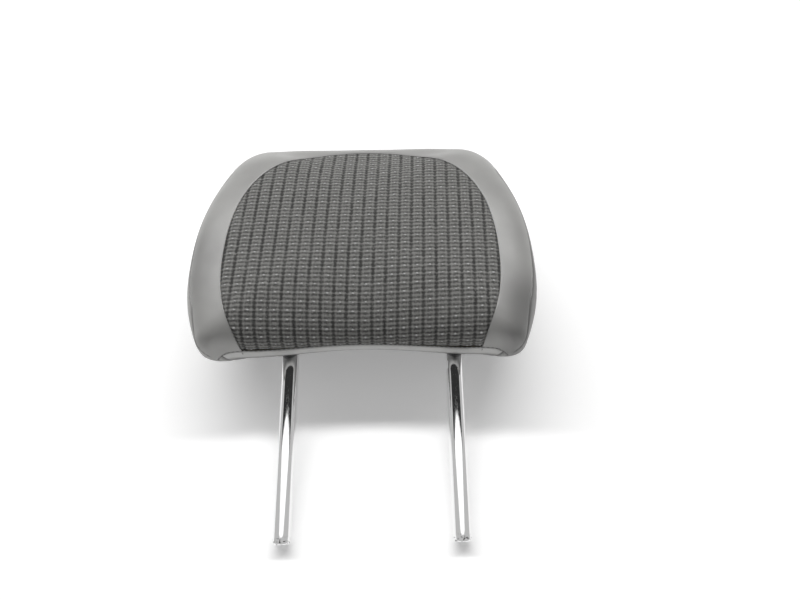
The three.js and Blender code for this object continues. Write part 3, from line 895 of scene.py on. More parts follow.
    def point(self, angle: np.ndarray, way: np.ndarray) -> np.ndarray:
        """Return points on the surface.

        Args:
            angle: Direction round the middle.
            way: 0 at the front pole, 1 at the ridge and 2 at the back pole.

        Returns:
            Positions, with the shape of the inputs and one more axis of 3.
        """
        front = way <= 1
        share = np.sin(QUARTER_TURN * np.where(front, way, 2 - way))
        edge = self.radius(angle)
        x = self.centre[0] + edge * share * np.cos(angle)
        y = self.centre[1] + edge * share * np.sin(angle)
        z = np.where(front, self.front_z(x, y), self.back_z(x, y))
        return np.stack([x, y, z], axis=-1)

    def meridian(self, angle: float, start: float, end: float, stations: np.ndarray) -> np.ndarray:
        """Return points along one direction, spaced by distance on the surface.

        Args:
            angle: Direction round the middle.
            start: First way value.
            end: Last way value.
            stations: Shares of the length, from 0 to 1.

        Returns:
            One point for each station.
        """
        way = np.linspace(start, end, self.meridian_steps)
        points = self.point(np.full_like(way, angle), way)
        travel = travelled(points)
        return sampled(stations * travel[-1], travel, points)

    def lip_edge(self, x: np.ndarray) -> np.ndarray:
        """Return the y of the outline's lower edge, its first three curves, at places across."""
        lower = self.half[: 3 * self.steps]
        return np.interp(np.abs(x), lower[:, 0], lower[:, 1])

    def outward(self, points: np.ndarray) -> np.ndarray:
        """Return rough outward directions, from the middle of the cushion.

        Args:
            points: Positions, any shape with a last axis of 3.

        Returns:
            Unit vectors in the same shape.
        """
        middle = np.array([self.centre[0], self.centre[1], self.side_ridge])
        away = points - middle
        return away / np.maximum(np.linalg.norm(away, axis=-1, keepdims=True), 1e-9)


@dataclass
class SeamPlan:
    """Where the cover's pieces are sewn together."""

    form: CushionForm
    side_seam_height: float = 0.082
    top_seam_height: float = 0.073
    top_seam_level: float = 0.018
    top_seam_run: float = 0.044
    lip_seam_height: float = 0.0585
    lip_seam_x: tuple = (0.080, 0.092, 0.100, 0.110, 0.118, 0.1215, 0.1250, 0.1280, 0.1300)
    lip_seam_z: tuple = (0.0585, 0.0595, 0.0587, 0.0578, 0.0567, 0.0620, 0.0710, 0.0790, 0.0820)
    lip_seam_run: float = 0.034
    insert_half: float = 0.1082
    insert_widest_y: float = 0.0648
    insert_top_y: float = 0.1839
    foot_half: float = 0.0931
    foot_handle: float = 0.016
    foot_run: float = 0.012
    foot_taper: float = 0.004
    side_handle: float = 0.034
    shoulder_handle: float = 0.0735
    crown_handle: float = 0.0826
    closure_y: float = 0.040
    panel_half_top: float = 0.112
    panel_half_base: float = 0.098
    panel_rise: float = 0.010
    steps: int = 60
    # Start, end and count of the values that a search tries
    coarse_ways: tuple = (0.3, 0.9, 240)
    fine_ways: tuple = (0.9, 1.0, 600)
    end_degrees: tuple = (-80, -20, 400)

    def __post_init__(self) -> None:
        """Work out the insert's outline and where its sides reach the lip seam."""
        lip = self.form.lip_y
        widest, top = lip + self.insert_widest_y, lip + self.insert_top_y
        side = bezier(
            (self.foot_half, lip),
            (self.foot_half + self.foot_handle / 2, lip + self.foot_handle),
            (self.insert_half, widest - self.side_handle),
            (self.insert_half, widest),
            self.steps,
        )
        shoulder = bezier(
            (self.insert_half, widest),
            (self.insert_half, widest + self.shoulder_handle),
            (self.crown_handle, top),
            (0.0, top),
            self.steps,
        )
        foot = np.array([[self.foot_half - self.foot_taper, lip - self.foot_run]])
        right = np.vstack([foot, side[:-1], shoulder])
        self.insert = np.vstack([right, right[:-1][::-1] * MIRROR])
        self.table = polar_table(self.insert - self.form.centre)
        self.end_angle = self.find_end()

    def seam_z(self, x: np.ndarray, y: np.ndarray) -> np.ndarray:
        """Return the height of the seam between the front and back covers.

        Args:
            x: Places across.
            y: Places along.

        Returns:
            Heights: level at the sides, lower at the top and lowest along the lip.
        """
        crown = self.form.lip_y + self.form.length
        fall = ease((y - crown + self.top_seam_run) / (self.top_seam_run - self.top_seam_level))
        side = self.side_seam_height + (self.top_seam_height - self.side_seam_height) * fall
        low = np.minimum(side, np.interp(np.abs(x), self.lip_seam_x, self.lip_seam_z))
        return np.where(y < self.form.lip_y + self.lip_seam_run, low, side)

    def seam_way(self, angle: float) -> float:
        """Return the way value at which one direction meets the front seam.

        Args:
            angle: Direction round the middle.

        Returns:
            A way value, 1 at the ridge.
        """
        way = np.concatenate([np.linspace(*self.coarse_ways, endpoint=False), np.linspace(*self.fine_ways)])
        points = self.form.point(np.full_like(way, angle), way)
        return crossing(way, points[:, 2] - self.seam_z(points[:, 0], points[:, 1]))

    def insert_way(self, angle: float) -> float:
        """Return the way value at which one direction meets the insert's outline."""
        share = min(float(polar_reach(angle, self.table) / self.form.radius(angle)), 1.0)
        return math.asin(share) / QUARTER_TURN

    def find_end(self) -> float:
        """Return the direction, below the middle on the right, where the surround tapers away."""
        angles = np.radians(np.linspace(*self.end_degrees))
        return crossing(angles, np.array([self.insert_way(a) - self.seam_way(a) for a in angles]))

    def insert_distance(self, x: np.ndarray, y: np.ndarray) -> tuple[np.ndarray, np.ndarray]:
        """Return how far points lie inside the insert's outline, and their nearest outline points.

        Args:
            x: Places across.
            y: Places along.

        Returns:
            Signed distances, positive inside, and nearest points.
        """
        points = np.stack([x.ravel(), y.ravel()], axis=-1)
        best = np.full(len(points), np.inf)
        nearest = np.zeros_like(points)
        for a, b in zip(self.insert, np.roll(self.insert, -1, axis=0)):
            edge = b - a
            share = np.clip((points - a) @ edge / max(edge @ edge, 1e-18), 0, 1)
            foot = a + share[:, None] * edge
            away = np.linalg.norm(points - foot, axis=1)
            closer = away < best
            best[closer] = away[closer]
            nearest[closer] = foot[closer]
        offset = points - self.form.centre
        angle = np.arctan2(offset[:, 1], offset[:, 0])
        inside = np.linalg.norm(offset, axis=1) < polar_reach(angle, self.table)
        return np.where(inside, best, -best).reshape(x.shape), nearest.reshape(x.shape + (2,))

    def panel_half(self, z: np.ndarray) -> np.ndarray:
        """Return half the bottom panel's width at a height.

        Args:
            z: Heights.

        Returns:
            Half widths.
        """
        span = self.lip_seam_height + 2 * self.panel_rise
        share = (z + self.panel_rise) / span
        return self.panel_half_base + (self.panel_half_top - self.panel_half_base) * share


@dataclass
class FoamSwell:
    """The cushion blown up a little under its cover, held along its seams, by cloth simulation."""

    form: CushionForm
    plan: SeamPlan
    voxel: float = 0.005
    pressure: float = 4.0
    frames: int = 20
    cap: float = 0.0035
    held_within: float = 0.0045
    share: float = 0.75
    sink: float = 0.0003
    roll: float = 0.0039
    roll_half: float = 0.12
    roll_fade: float = 0.07
    roll_z: tuple = (0.045, 0.065, 0.0745, 0.0855)
    roll_from: float = 0.14
    roll_run: float = 0.02
    rest_patch_z: float = 0.001
    body_columns: int = 120
    body_rows: int = 70
    body_pole: float = 0.02

    def simulate(self) -> None:
        """Run the simulation and keep each point's movement."""
        self.tree = None
        rest = self.rest_body()
        settings = rest.modifiers.new("remesh", "REMESH")
        settings.mode = "VOXEL"
        settings.voxel_size = self.voxel
        baked(rest)
        self.before = read_values(rest.data.vertices, "co", 3)
        self.hold(rest, self.before)
        cloth = rest.modifiers.new("cloth", "CLOTH")
        cloth.settings.use_pressure = True
        cloth.settings.uniform_pressure_force = self.pressure
        cloth.settings.vertex_group_mass = "held"
        cloth.settings.quality = 5
        cloth.settings.effector_weights.gravity = 0
        cloth.point_cache.frame_end = self.frames
        scene = bpy.context.scene
        for step in range(1, self.frames + 1):
            scene.frame_set(step)
        graph = bpy.context.evaluated_depsgraph_get()
        swollen = rest.evaluated_get(graph).to_mesh()
        moved = read_values(swollen.vertices, "co", 3) - self.before
        length = np.linalg.norm(moved, axis=1, keepdims=True)
        moved *= np.minimum(1.0, self.cap / np.maximum(length, 1e-9))
        self.moved = self.smoothed(rest, moved)
        faces = [tuple(p.vertices) for p in rest.data.polygons]
        split = [t for f in faces for t in ((f[0], f[1], f[2]), (f[0], f[2], f[-1]))]
        self.triangles = [t for t in split if len(set(t)) == 3]
        self.tree = BVHTree.FromPolygons([tuple(p) for p in self.before], self.triangles)
        bpy.data.objects.remove(rest)
        scene.frame_set(1)
        log.info("cushion simulated: %d points, moved up to %.1f mm", len(moved), 1000 * length.max())

    def rest_body(self) -> bpy.types.Object:
        """Return the whole cushion as one closed body.

        Returns:
            The body, before the simulation.
        """
        angles = np.linspace(0, FULL_TURN, self.body_columns, endpoint=False)
        ways = np.linspace(self.body_pole, 2 - self.body_pole, self.body_rows)
        points = self.form.point(*np.meshgrid(angles, ways)).reshape(-1, 3)
        body = mesh_object("swell_body", points, tube_faces(len(ways), len(angles)))
        clean(body)
        return body

    def hold(self, body: bpy.types.Object, points: np.ndarray) -> None:
        """Pin the points near a seam and those on the rest patch.

        Args:
            body: Cloth object.
            points: Its points.
        """
        x, y, z = points.T
        inside, _ = self.plan.insert_distance(x, y)
        above = z - self.plan.seam_z(x, y)
        near = (np.abs(inside) < self.held_within) & (above > -self.held_within)
        near |= np.abs(above) < self.held_within
        below = above < 0
        in_panel = y < self.form.lip_y + self.plan.closure_y
        near |= below & in_panel & (np.abs(np.abs(x) - self.plan.panel_half(z)) < self.held_within)
        narrow = np.abs(x) < self.plan.panel_half(z)
        near |= below & narrow & (np.abs(y - self.form.lip_y - self.plan.closure_y) < self.held_within)
        near |= z < self.rest_patch_z
        group = body.vertex_groups.new(name="held")
        group.add([int(i) for i in np.flatnonzero(near)], 1.0, "REPLACE")

    def smoothed(self, body: bpy.types.Object, moved: np.ndarray, rounds: int = 3) -> np.ndarray:
        """Return movements averaged with their neighbours'.

        Args:
            body: Object whose edges join neighbours.
            moved: One vector for each point.
            rounds: Number of passes.

        Returns:
            The smoothed vectors.
        """
        pairs = np.array([tuple(e.vertices) for e in body.data.edges])
        degree = np.bincount(pairs.ravel(), minlength=len(moved)).astype(float)[:, None]
        for _ in range(rounds):
            total = np.zeros_like(moved)
            np.add.at(total, pairs[:, 0], moved[pairs[:, 1]])
            np.add.at(total, pairs[:, 1], moved[pairs[:, 0]])
            moved = 0.5 * moved + 0.5 * total / np.maximum(degree, 1)
        return moved

    def shift(self, points: np.ndarray, normals: np.ndarray) -> np.ndarray:
        """Return points moved as the simulated cushion moved there.

        Args:
            points: Positions on the cushion's own surface, any shape with a last axis of 3.
            normals: Unit normals there.

        Returns:
            Moved positions of the same shape.
        """
        rise = (self.rolled(points) - self.sink)[..., None] * normals
        if self.tree is None:
            return points + rise
        flat = points.reshape(-1, 3)
        result = np.empty_like(flat)
        for i, p in enumerate(flat):
            _, _, index, _ = self.tree.find_nearest(Vector(p))
            corners = self.triangles[index]
            weights = self.weights(p, self.before[list(corners)])
            result[i] = p + self.share * (weights @ self.moved[list(corners)])
        return result.reshape(points.shape) + rise

    def rolled(self, points: np.ndarray) -> np.ndarray:
        """Return how far the cover bulges over the thicker foam along the crown.

        Args:
            points: Positions, any shape with a last axis of 3.

        Returns:
            Distances outwards, in metres.
        """
        x, y, z = np.moveaxis(points, -1, 0)
        low, full, held, high = self.roll_z
        across = ease((self.roll_half - np.abs(x)) / self.roll_fade)
        section = ease((z - low) / (full - low)) * (1 - ease((z - held) / (high - held)))
        far = ease((y - self.form.lip_y - self.roll_from) / self.roll_run)
        return self.roll * across * section * far

    @staticmethod
    def weights(point: np.ndarray, corners: np.ndarray) -> np.ndarray:
        """Return the weights of a triangle's corners at the point nearest to it in its plane.

        Args:
            point: A position.
            corners: The triangle's three corners.

        Returns:
            Three weights that add up to 1.
        """
        a, b, c = corners
        ab, ac, ap = b - a, c - a, point - a
        d00, d01, d11 = ab @ ab, ab @ ac, ac @ ac
        d20, d21 = ap @ ab, ap @ ac
        scale = max(d00 * d11 - d01 * d01, 1e-24)
        v = (d11 * d20 - d01 * d21) / scale
        w = (d00 * d21 - d01 * d20) / scale
        found = np.clip(np.array([1 - v - w, v, w]), 0, 1)
        return found / found.sum()


def edge_spaced(count: int, length: float, steps: Sequence[float]) -> np.ndarray:
    """Return shares from 0 to 1 that lie close together near both ends.

    Args:
        count: Number of even stations between the close ones.
        length: Typical length that the shares cover, in metres.
        steps: Distances of the close stations from each end, in metres.

    Returns:
        Rising shares.
    """
    near = np.array(steps) / length
    middle = np.linspace(near[-1], 1 - near[-1], count)
    return np.concatenate([near[:-1], middle, 1 - near[:-1][::-1]])


@dataclass
class Cover:
    """The sewn vinyl cover: surround, back panel and bottom panel."""

    form: CushionForm
    plan: SeamPlan
    swell: FoamSwell
    wall: float = 0.0013
    tuck_depth: float = 0.0011
    inner_share: float = 0.4
    tuck_width: float = 0.0028
    crease_width: float = 0.0026
    close_steps: tuple = (0.0, 0.0004, 0.0009, 0.0015, 0.0022, 0.003, 0.004)
    surround_columns: int = 330
    surround_length: float = 0.62
    surround_rows: int = 22
    surround_width: float = 0.045
    rear_columns: int = 420
    rear_rows: int = 64
    rear_length: float = 0.17
    rear_skipped: int = 6
    cut_reach: float = 0.012

    def tuck(self, distance: np.ndarray) -> np.ndarray:
        """Return how far the cover is drawn in at a distance from a seam."""
        near = 1 - np.clip(distance / self.tuck_width, 0, 1)
        return self.tuck_depth * (1 - np.sqrt(1 - near ** 2))

    def crease(self, distance: np.ndarray) -> np.ndarray:
        """Return how deep in a seam a point lies, from 0 to 1."""
        return 1 - ease(distance / self.crease_width)

    def surround(self, material: bpy.types.Material) -> None:
        """Build the front surround, shaped like an upside-down U.

        Args:
            material: Its finish.
        """
        first = self.plan.end_angle
        spread = edge_spaced(self.surround_columns, self.surround_length, self.close_steps)
        stations = edge_spaced(self.surround_rows, self.surround_width, self.close_steps)
        columns = []
        for angle in first + (HALF_TURN - 2 * first) * spread:
            inner = self.plan.insert_way(angle)
            outer = max(self.plan.seam_way(angle), inner)
            columns.append(self.form.meridian(angle, inner, outer, stations))
        grid = np.array(columns)
        normals = grid_normals(grid, self.form.outward)
        travel = travelled(grid)
        outer = travel[:, -1:] - travel
        depth = np.maximum(self.inner_share * self.tuck(travel), self.tuck(outer))
        points = self.swell.shift(grid, normals) - depth[..., None] * normals
        piece = mesh_object("surround", points.reshape(-1, 3), grid_faces(*grid.shape[:2]))
        crease = np.maximum(self.inner_share * self.crease(travel), self.crease(outer))
        store_values(piece, "crease", crease)
        sew(piece, self.form.middle, self.wall, material, "front_surround")

    def rear(self, back: bpy.types.Material, bottom: bpy.types.Material) -> None:
        """Build everything behind the front seam, and part it into back panel and bottom panel.

        Args:
            back: Finish of the back panel.
            bottom: Finish of the bottom panel.
        """
        angles = np.linspace(0, FULL_TURN, self.rear_columns, endpoint=False)
        stations = edge_spaced(self.rear_rows, self.rear_length, self.close_steps)[:-self.rear_skipped]
        stations = np.append(stations, 1.0)
        grid = np.array([self.form.meridian(a, self.plan.seam_way(a), 2.0, stations) for a in angles])
        faces = [f[:1] + f[:0:-1] for f in grid_faces(*grid.shape[:2], looped=True)]
        shell = mesh_object("rear_shell", grid.reshape(-1, 3), faces)
        store_values(shell, "from_seam", travelled(grid))
        clean(shell)
        face_out(shell, self.form.middle)
        self.cut_seams(shell)
        points, normals, distance = self.measured(shell)
        points = self.swell.shift(points, normals) - self.tuck(distance)[:, None] * normals
        shell.data.vertices.foreach_set("co", points.astype(np.float32).ravel())
        store_values(shell, "crease", self.crease(distance))
        shell.data.update()
        self.outside = BVHTree.FromObject(shell, bpy.context.evaluated_depsgraph_get())
        for name, is_bottom, material, slot, node, fill in (
            ("back_cover", False, back, Slot.BACK_VINYL, "back_panel", 0.8),
            ("bottom_cover", True, bottom, Slot.VINYL, "bottom_panel", 0.7),
        ):
            piece = self.part_of(shell, name, is_bottom)
            sew(piece, self.form.middle, self.wall, material, node)
        bpy.data.objects.remove(shell)

    def seam_planes(self) -> list[tuple[Vector, Vector]]:
        """Return a point and a normal of each plane that bounds the bottom panel.

        Returns:
            Pairs of a point and a unit normal that points out of the panel.
        """
        plan = self.plan
        height = plan.lip_seam_height + 2 * plan.panel_rise
        lean = (plan.panel_half_top - plan.panel_half_base) / height
        planes = []
        for side in (-1, 1):
            foot = Vector((side * plan.panel_half_base, 0, -plan.panel_rise))
            planes.append((foot, Vector((side, 0, -lean)).normalized()))
        planes.append((Vector((0, self.form.lip_y + plan.closure_y, 0)), Vector((0, 1, 0))))
        return planes

    def cut_seams(self, shell: bpy.types.Object) -> None:
        """Cut the shell along the bottom panel's seams, with close loops on both sides.

        Args:
            shell: The whole rear shell.
        """
        reach = self.form.lip_y + self.plan.closure_y + self.cut_reach
        offsets = (*(-d for d in self.close_steps[:0:-1]), *self.close_steps)
        with edited(shell) as mesh:
            for place, normal in ((p + d * n, n) for p, n in self.seam_planes() for d in offsets):
                near = [f for f in mesh.faces if f.calc_center_median().y < reach]
                geometry = list({e for f in near for e in f.edges}) + near
                geometry += list({v for f in near for v in f.verts})
                bmesh.ops.bisect_plane(mesh, geom=geometry, plane_co=place, plane_no=normal, dist=1e-6)

    def measured(self, shell: bpy.types.Object) -> tuple[np.ndarray, np.ndarray, np.ndarray]:
        """Return the shell's points, normals and distances from the nearest seam.

        Args:
            shell: The whole rear shell, cut along its seams.

        Returns:
            Three arrays with a row for each point.
        """
        points = read_values(shell.data.vertices, "co", 3)
        normals = read_values(shell.data.vertices, "normal", 3)
        seam = read_values(shell.data.attributes["from_seam"].data, "value", 1)[:, 0]
        x, y, z = points.T
        behind = y - self.form.lip_y - self.plan.closure_y
        beside = np.abs(x) - self.plan.panel_half(z)
        side = np.hypot(beside, np.maximum(0, behind))
        rear = np.hypot(behind, np.maximum(0, beside))
        return points, normals, np.minimum(np.minimum(seam, side), rear)

    def part_of(self, shell: bpy.types.Object, name: str, bottom: bool) -> bpy.types.Object:
        """Return a copy of the shell with only the bottom panel, or only the rest.

        Args:
            shell: The whole rear shell, cut along its seams.
            name: Name of the new piece.
            bottom: Whether to keep the bottom panel.

        Returns:
            The new piece.
        """
        piece = shell.copy()
        piece.data = shell.data.copy()
        piece.name = piece.data.name = name
        bpy.context.scene.collection.objects.link(piece)
        planes = self.seam_planes()
        wrong = []
        with edited(piece) as mesh:
            for face in mesh.faces:
                middle = face.calc_center_median()
                inside = all((middle - place).dot(normal) < 0 for place, normal in planes)
                if inside != bottom:
                    wrong.append(face)
            bmesh.ops.delete(mesh, geom=wrong, context="FACES")
        return piece


@dataclass
class RibbedPanel:
    """The woven front panel: ribs between grooves, rows of small light floats."""

    form: CushionForm
    plan: SeamPlan
    swell: FoamSwell
    pitch: float = 0.00975
    row_pitch: float = 0.0070
    lean: float = math.radians(1.9)
    middle_y: float = 0.100
    column_shift: float = 0.88
    row_shift: float = 0.08
    groove_depth: float = 0.0010
    groove_width: float = 0.13
    channel_depth: float = 0.00032
    channel_at: float = 0.25
    channel_width: float = 0.08
    tuck_depth: float = 0.0009
    tuck_width: float = 0.0034
    wall: float = 0.0009
    overrun: float = 0.006
    float_length: float = 0.0017
    float_width: float = 0.0012
    float_rise: float = 0.00012
    float_margin: float = 0.0022
    column_parts: tuple = (0, 0.07, 0.15, 0.27, 0.42, 0.58, 0.73, 0.85, 0.93)
    row_parts: tuple = (0, 0.14, 0.25, 0.36, 0.5, 0.64, 0.75, 0.86)
    half_columns: int = 12
    row_range: tuple = (-18, 20)
    path_steps: int = 700
    relief_share: float = 0.5
    crease_share: float = 0.6
    thick_share: float = 0.55
    slope_step: float = 1e-5
    slope_inset: float = 0.9995

    def path(self, column: float) -> np.ndarray:
        """Return one line of the panel, from its top to the lip seam.

        Args:
            column: Column coordinate, whole at the grooves.

        Returns:
            Rows of x, y, z and the row coordinate.
        """
        middle = self.form.lip_y + self.middle_y
        base = (column - self.column_shift) * self.pitch
        far = self.form.lip_y + self.plan.insert_top_y + self.overrun
        foot = base + math.tan(self.lean) * (self.form.lip_y - middle)
        near = self.form.lip_edge(np.array([foot]))[0] + 1e-5
        y = far - (far - near) * np.sin(QUARTER_TURN * np.linspace(0, 1, self.path_steps))
        x = base + math.tan(self.lean) * (y - middle)
        z = self.form.front_z(x, y)
        keep = z > self.plan.seam_z(x, y)
        x, y, z = x[keep], y[keep], z[keep]
        line = np.stack([x, y, z], axis=-1)
        travel = travelled(line)
        start = np.interp(-middle, -y, travel)
        return np.column_stack([line, (travel - start) / self.row_pitch + self.row_shift])

    def height(self, u: np.ndarray, v: np.ndarray) -> np.ndarray:
        """Return how far the weave stands off its base surface.

        Args:
            u: Column coordinates, whole at the grooves.
            v: Row coordinates.

        Returns:
            Heights in metres, below zero in a groove.
        """
        from_groove = 0.5 - np.abs(fraction(u) - 0.5)
        groove = np.exp(-((from_groove / self.groove_width) ** 2))
        from_channel = np.abs(np.abs(fraction(v) - 0.5) - self.channel_at)
        channel = np.exp(-((from_channel / self.channel_width) ** 2))
        return -self.groove_depth * groove - self.channel_depth * channel * (1 - 0.5 * groove)

    def drawn_in(self, distance: np.ndarray) -> np.ndarray:
        """Return how far the panel sinks near its seams."""
        return self.tuck_depth * (1 - ease(distance / self.tuck_width))

    def build(self, material: bpy.types.Material) -> None:
        """Build the panel.

        Args:
            material: Its finish.
        """
        whole = np.arange(-self.half_columns, self.half_columns + 1)
        columns = (whole[:, None] + np.array(self.column_parts)).ravel()
        rows = (np.arange(*self.row_range)[:, None] + np.array(self.row_parts)).ravel()
        grid = np.zeros((len(columns), len(rows), 3))
        reach = np.zeros(grid.shape[:2])
        value = np.zeros(grid.shape[:2])
        for i, line in enumerate(self.path(c) for c in columns):
            value[i] = np.clip(rows, line[0, 3], line[-1, 3])
            grid[i] = sampled(value[i], line[:, 3], line)
            reach[i] = (line[-1, 3] - value[i]) * self.row_pitch
        inside, nearest = self.plan.insert_distance(grid[..., 0], grid[..., 1])
        faces = self.kept_faces(inside, value)
        outside = inside < 0
        shift = np.where(outside[..., None], nearest - grid[..., :2], 0)
        grid[..., :2] += shift
        grid[..., 2] = np.where(outside, self.form.front_z(grid[..., 0], grid[..., 1]), grid[..., 2])
        u = columns[:, None] + (shift[..., 0] - math.tan(self.lean) * shift[..., 1]) / self.pitch
        v = value - shift[..., 1] / self.row_pitch
        normals = self.slope_normals(grid)
        distance = np.minimum(np.where(outside, 0, inside), reach)
        relief = ease(distance / (self.relief_share * self.tuck_width))
        lift = self.height(u, v) * relief - self.drawn_in(distance)
        points = grid + lift[..., None] * normals
        used = np.zeros(grid.shape[:2], bool)
        used.ravel()[np.unique(np.array(faces))] = True
        points[used] = self.swell.shift(points[used], normals[used])
        piece = mesh_object("ribbed_panel", points.reshape(-1, 3), faces)
        self.store_cells(piece, u, v)
        store_values(piece, "crease", 1 - ease(distance / (self.crease_share * self.tuck_width)))
        merge = 0.5 * MERGE_DISTANCE
        middle = self.form.middle
        sew(piece, middle, self.wall, material, "fabric_insert", merge=merge)

    def slope_normals(self, grid: np.ndarray) -> np.ndarray:
        """Return unit normals of the front surface at grid points.

        Args:
            grid: Positions, any shape with a last axis of 3.

        Returns:
            Unit normals in the same shape.
        """
        step = self.slope_step
        inner = (grid[..., :2] - self.form.centre) * self.slope_inset + self.form.centre
        x, y = inner[..., 0], inner[..., 1]
        slope_x = (self.form.front_z(x + step, y) - self.form.front_z(x - step, y)) / (2 * step)
        slope_y = (self.form.front_z(x, y + step) - self.form.front_z(x, y - step)) / (2 * step)
        normals = np.stack([-slope_x, -slope_y, np.ones_like(x)], axis=-1)
        return normals / np.linalg.norm(normals, axis=-1, keepdims=True)

    @staticmethod
    def kept_faces(inside: np.ndarray, value: np.ndarray) -> list[tuple]:
        """Return the grid's quads that have a corner inside the panel and some length.

        Args:
            inside: Signed distance of each point inside the outline.
            value: Row coordinate of each point, which stops changing past the panel's ends.

        Returns:
            Vertex index tuples.
        """
        deep, flat = inside.ravel(), value.ravel()
        faces = []
        for face in grid_faces(*inside.shape):
            a, b, c, d = face
            length = abs(flat[a] - flat[b]) + abs(flat[d] - flat[c])
            if max(deep[i] for i in face) > 0 and length >= 1e-6:
                faces.append(face)
        return faces

    @staticmethod
    def store_cells(piece: bpy.types.Object, u: np.ndarray, v: np.ndarray) -> None:
        """Keep the cell coordinates as a UV map.

        Args:
            piece: The panel.
            u: Column coordinate of each point.
            v: Row coordinate of each point.
        """
        layer = piece.data.uv_layers.new(name="cell")
        loops = np.empty(len(piece.data.loops), np.int32)
        piece.data.loops.foreach_get("vertex_index", loops)
        pairs = np.stack([u.ravel()[loops], v.ravel()[loops]], axis=-1)
        layer.data.foreach_set("uv", pairs.astype(np.float32).ravel())

    def floats(self, material: bpy.types.Material) -> None:
        """Build the light yarn floats, one in the middle of each cell.

        Args:
            material: Their finish.
        """
        places, facings = [], []
        for k in range(-self.half_columns, self.half_columns):
            line = self.path(k + 0.5)
            rows = np.arange(math.ceil(line[0, 3] - 0.5), math.floor(line[-1, 3] - 0.5) + 1) + 0.5
            spots = sampled(rows, line[:, 3], line)
            inside, _ = self.plan.insert_distance(spots[:, 0], spots[:, 1])
            distance = np.minimum(inside, (line[-1, 3] - rows) * self.row_pitch)
            normals = self.slope_normals(spots)
            spots += (self.float_rise - self.drawn_in(distance))[:, None] * normals
            keep = distance > self.float_margin
            if keep.any():
                places.append(self.swell.shift(spots[keep], normals[keep]))
                facings.append(normals[keep])
        cloud = mesh_object("yarn_floats", np.vstack(places))
        layer = cloud.data.attributes.new("facing", "FLOAT_VECTOR", "POINT")
        layer.data.foreach_set("vector", np.vstack(facings).astype(np.float32).ravel())
        thick = self.float_width * self.thick_share
        BeadScatter(self.float_length, self.float_width, thick).apply(cloud, material)
        dress(cloud, material)


class NodeTree:
    """A short way to write a Geometry Nodes tree with named inputs."""

    def __init__(self, name: str, inputs: dict) -> None:
        """Start a tree.

        Args:
            name: Name of the tree.
            inputs: Input name to its socket type, without the NodeSocket prefix, and its value.
        """
        self.tree = bpy.data.node_groups.new(name, "GeometryNodeTree")
        self.tree.is_modifier = True
        self.values = {}
        for way in ("INPUT", "OUTPUT"):
            self.tree.interface.new_socket("Geometry", in_out=way, socket_type="NodeSocketGeometry")
        for label, (kind, value) in inputs.items():
            socket = self.tree.interface.new_socket(label, in_out="INPUT", socket_type="NodeSocket" + kind)
            self.values[socket.identifier] = value
        self.given = self.tree.nodes.new("NodeGroupInput").outputs

    def add(self, kind: str, inputs: dict | None = None, **settings) -> bpy.types.Node:
        """Add a node and feed its inputs, by socket name or index, with values or sockets."""
        return add_node(self.tree, kind, inputs, settings)

    def balls(self, points: Socket, direction: Socket, axis: str, size: Socket, segments: int) -> None:
        """End the tree with a ball on each point, as real mesh with the given material.

        Args:
            points: Points or curve to place the balls on.
            direction: Direction that each ball is turned along.
            axis: The ball's own axis that follows it.
            size: The ball's size along its three axes.
            segments: Number of its segments.
        """
        ball = self.add("GeometryNodeMeshUVSphere", {"Segments": segments, "Rings": 5, "Radius": 0.5})
        turn = self.add("FunctionNodeAlignRotationToVector", {"Vector": direction}, axis=axis)
        inputs = {"Points": points, "Instance": ball.outputs[0], "Rotation": turn.outputs[0], "Scale": size}
        placed = self.add("GeometryNodeInstanceOnPoints", inputs)
        real = self.add("GeometryNodeRealizeInstances", {0: placed.outputs[0]})
        inputs = {"Geometry": real.outputs[0], "Material": self.given["Material"]}
        painted = self.add("GeometryNodeSetMaterial", inputs)
        self.add("NodeGroupOutput", {"Geometry": painted.outputs[0]})

    def apply(self, piece: bpy.types.Object) -> None:
        """Run the tree on a piece and keep the result as its mesh.

        Args:
            piece: Object whose mesh the tree reads.
        """
        modifier = piece.modifiers.new(self.tree.name, "NODES")
        modifier.node_group = self.tree
        for identifier, value in self.values.items():
            modifier[identifier] = value
        baked(piece)


@dataclass(frozen=True)
class BeadScatter:
    """Small flattened beads on points, each facing along the points' own direction."""

    length: float
    width: float
    thickness: float
    spread: float = 0.25
    seed: int = 5
    segments: int = 8

    def apply(self, cloud: bpy.types.Object, material: bpy.types.Material) -> None:
        """Turn a cloud of points into beads.

        Args:
            cloud: Object whose points carry a facing attribute.
            material: Finish of the beads.
        """
        g = NodeTree("bead_scatter", {
            "Length": ("Float", self.length),
            "Width": ("Float", self.width),
            "Thickness": ("Float", self.thickness),
            "Min": ("Float", 1 - self.spread),
            "Max": ("Float", 1 + self.spread),
            "Seed": ("Int", self.seed),
            "Material": ("Material", material),
        })
        axes = {"X": g.given["Length"], "Y": g.given["Width"], "Z": g.given["Thickness"]}
        size = g.add("ShaderNodeCombineXYZ", axes)
        chance = g.add("FunctionNodeRandomValue", data_type="FLOAT")
        for socket in chance.inputs:
            if socket.enabled and socket.name in ("Min", "Max", "Seed"):
                g.tree.links.new(g.given[socket.name], socket)
        drawn = [o for o in chance.outputs if o.enabled][0]
        size = g.add("ShaderNodeVectorMath", {0: size.outputs[0], "Scale": drawn}, operation="SCALE")
        facing = g.add("GeometryNodeInputNamedAttribute", {"Name": "facing"}, data_type="FLOAT_VECTOR")
        g.balls(g.given["Geometry"], facing.outputs["Attribute"], "Z", size.outputs[0], self.segments)
        g.apply(cloud)


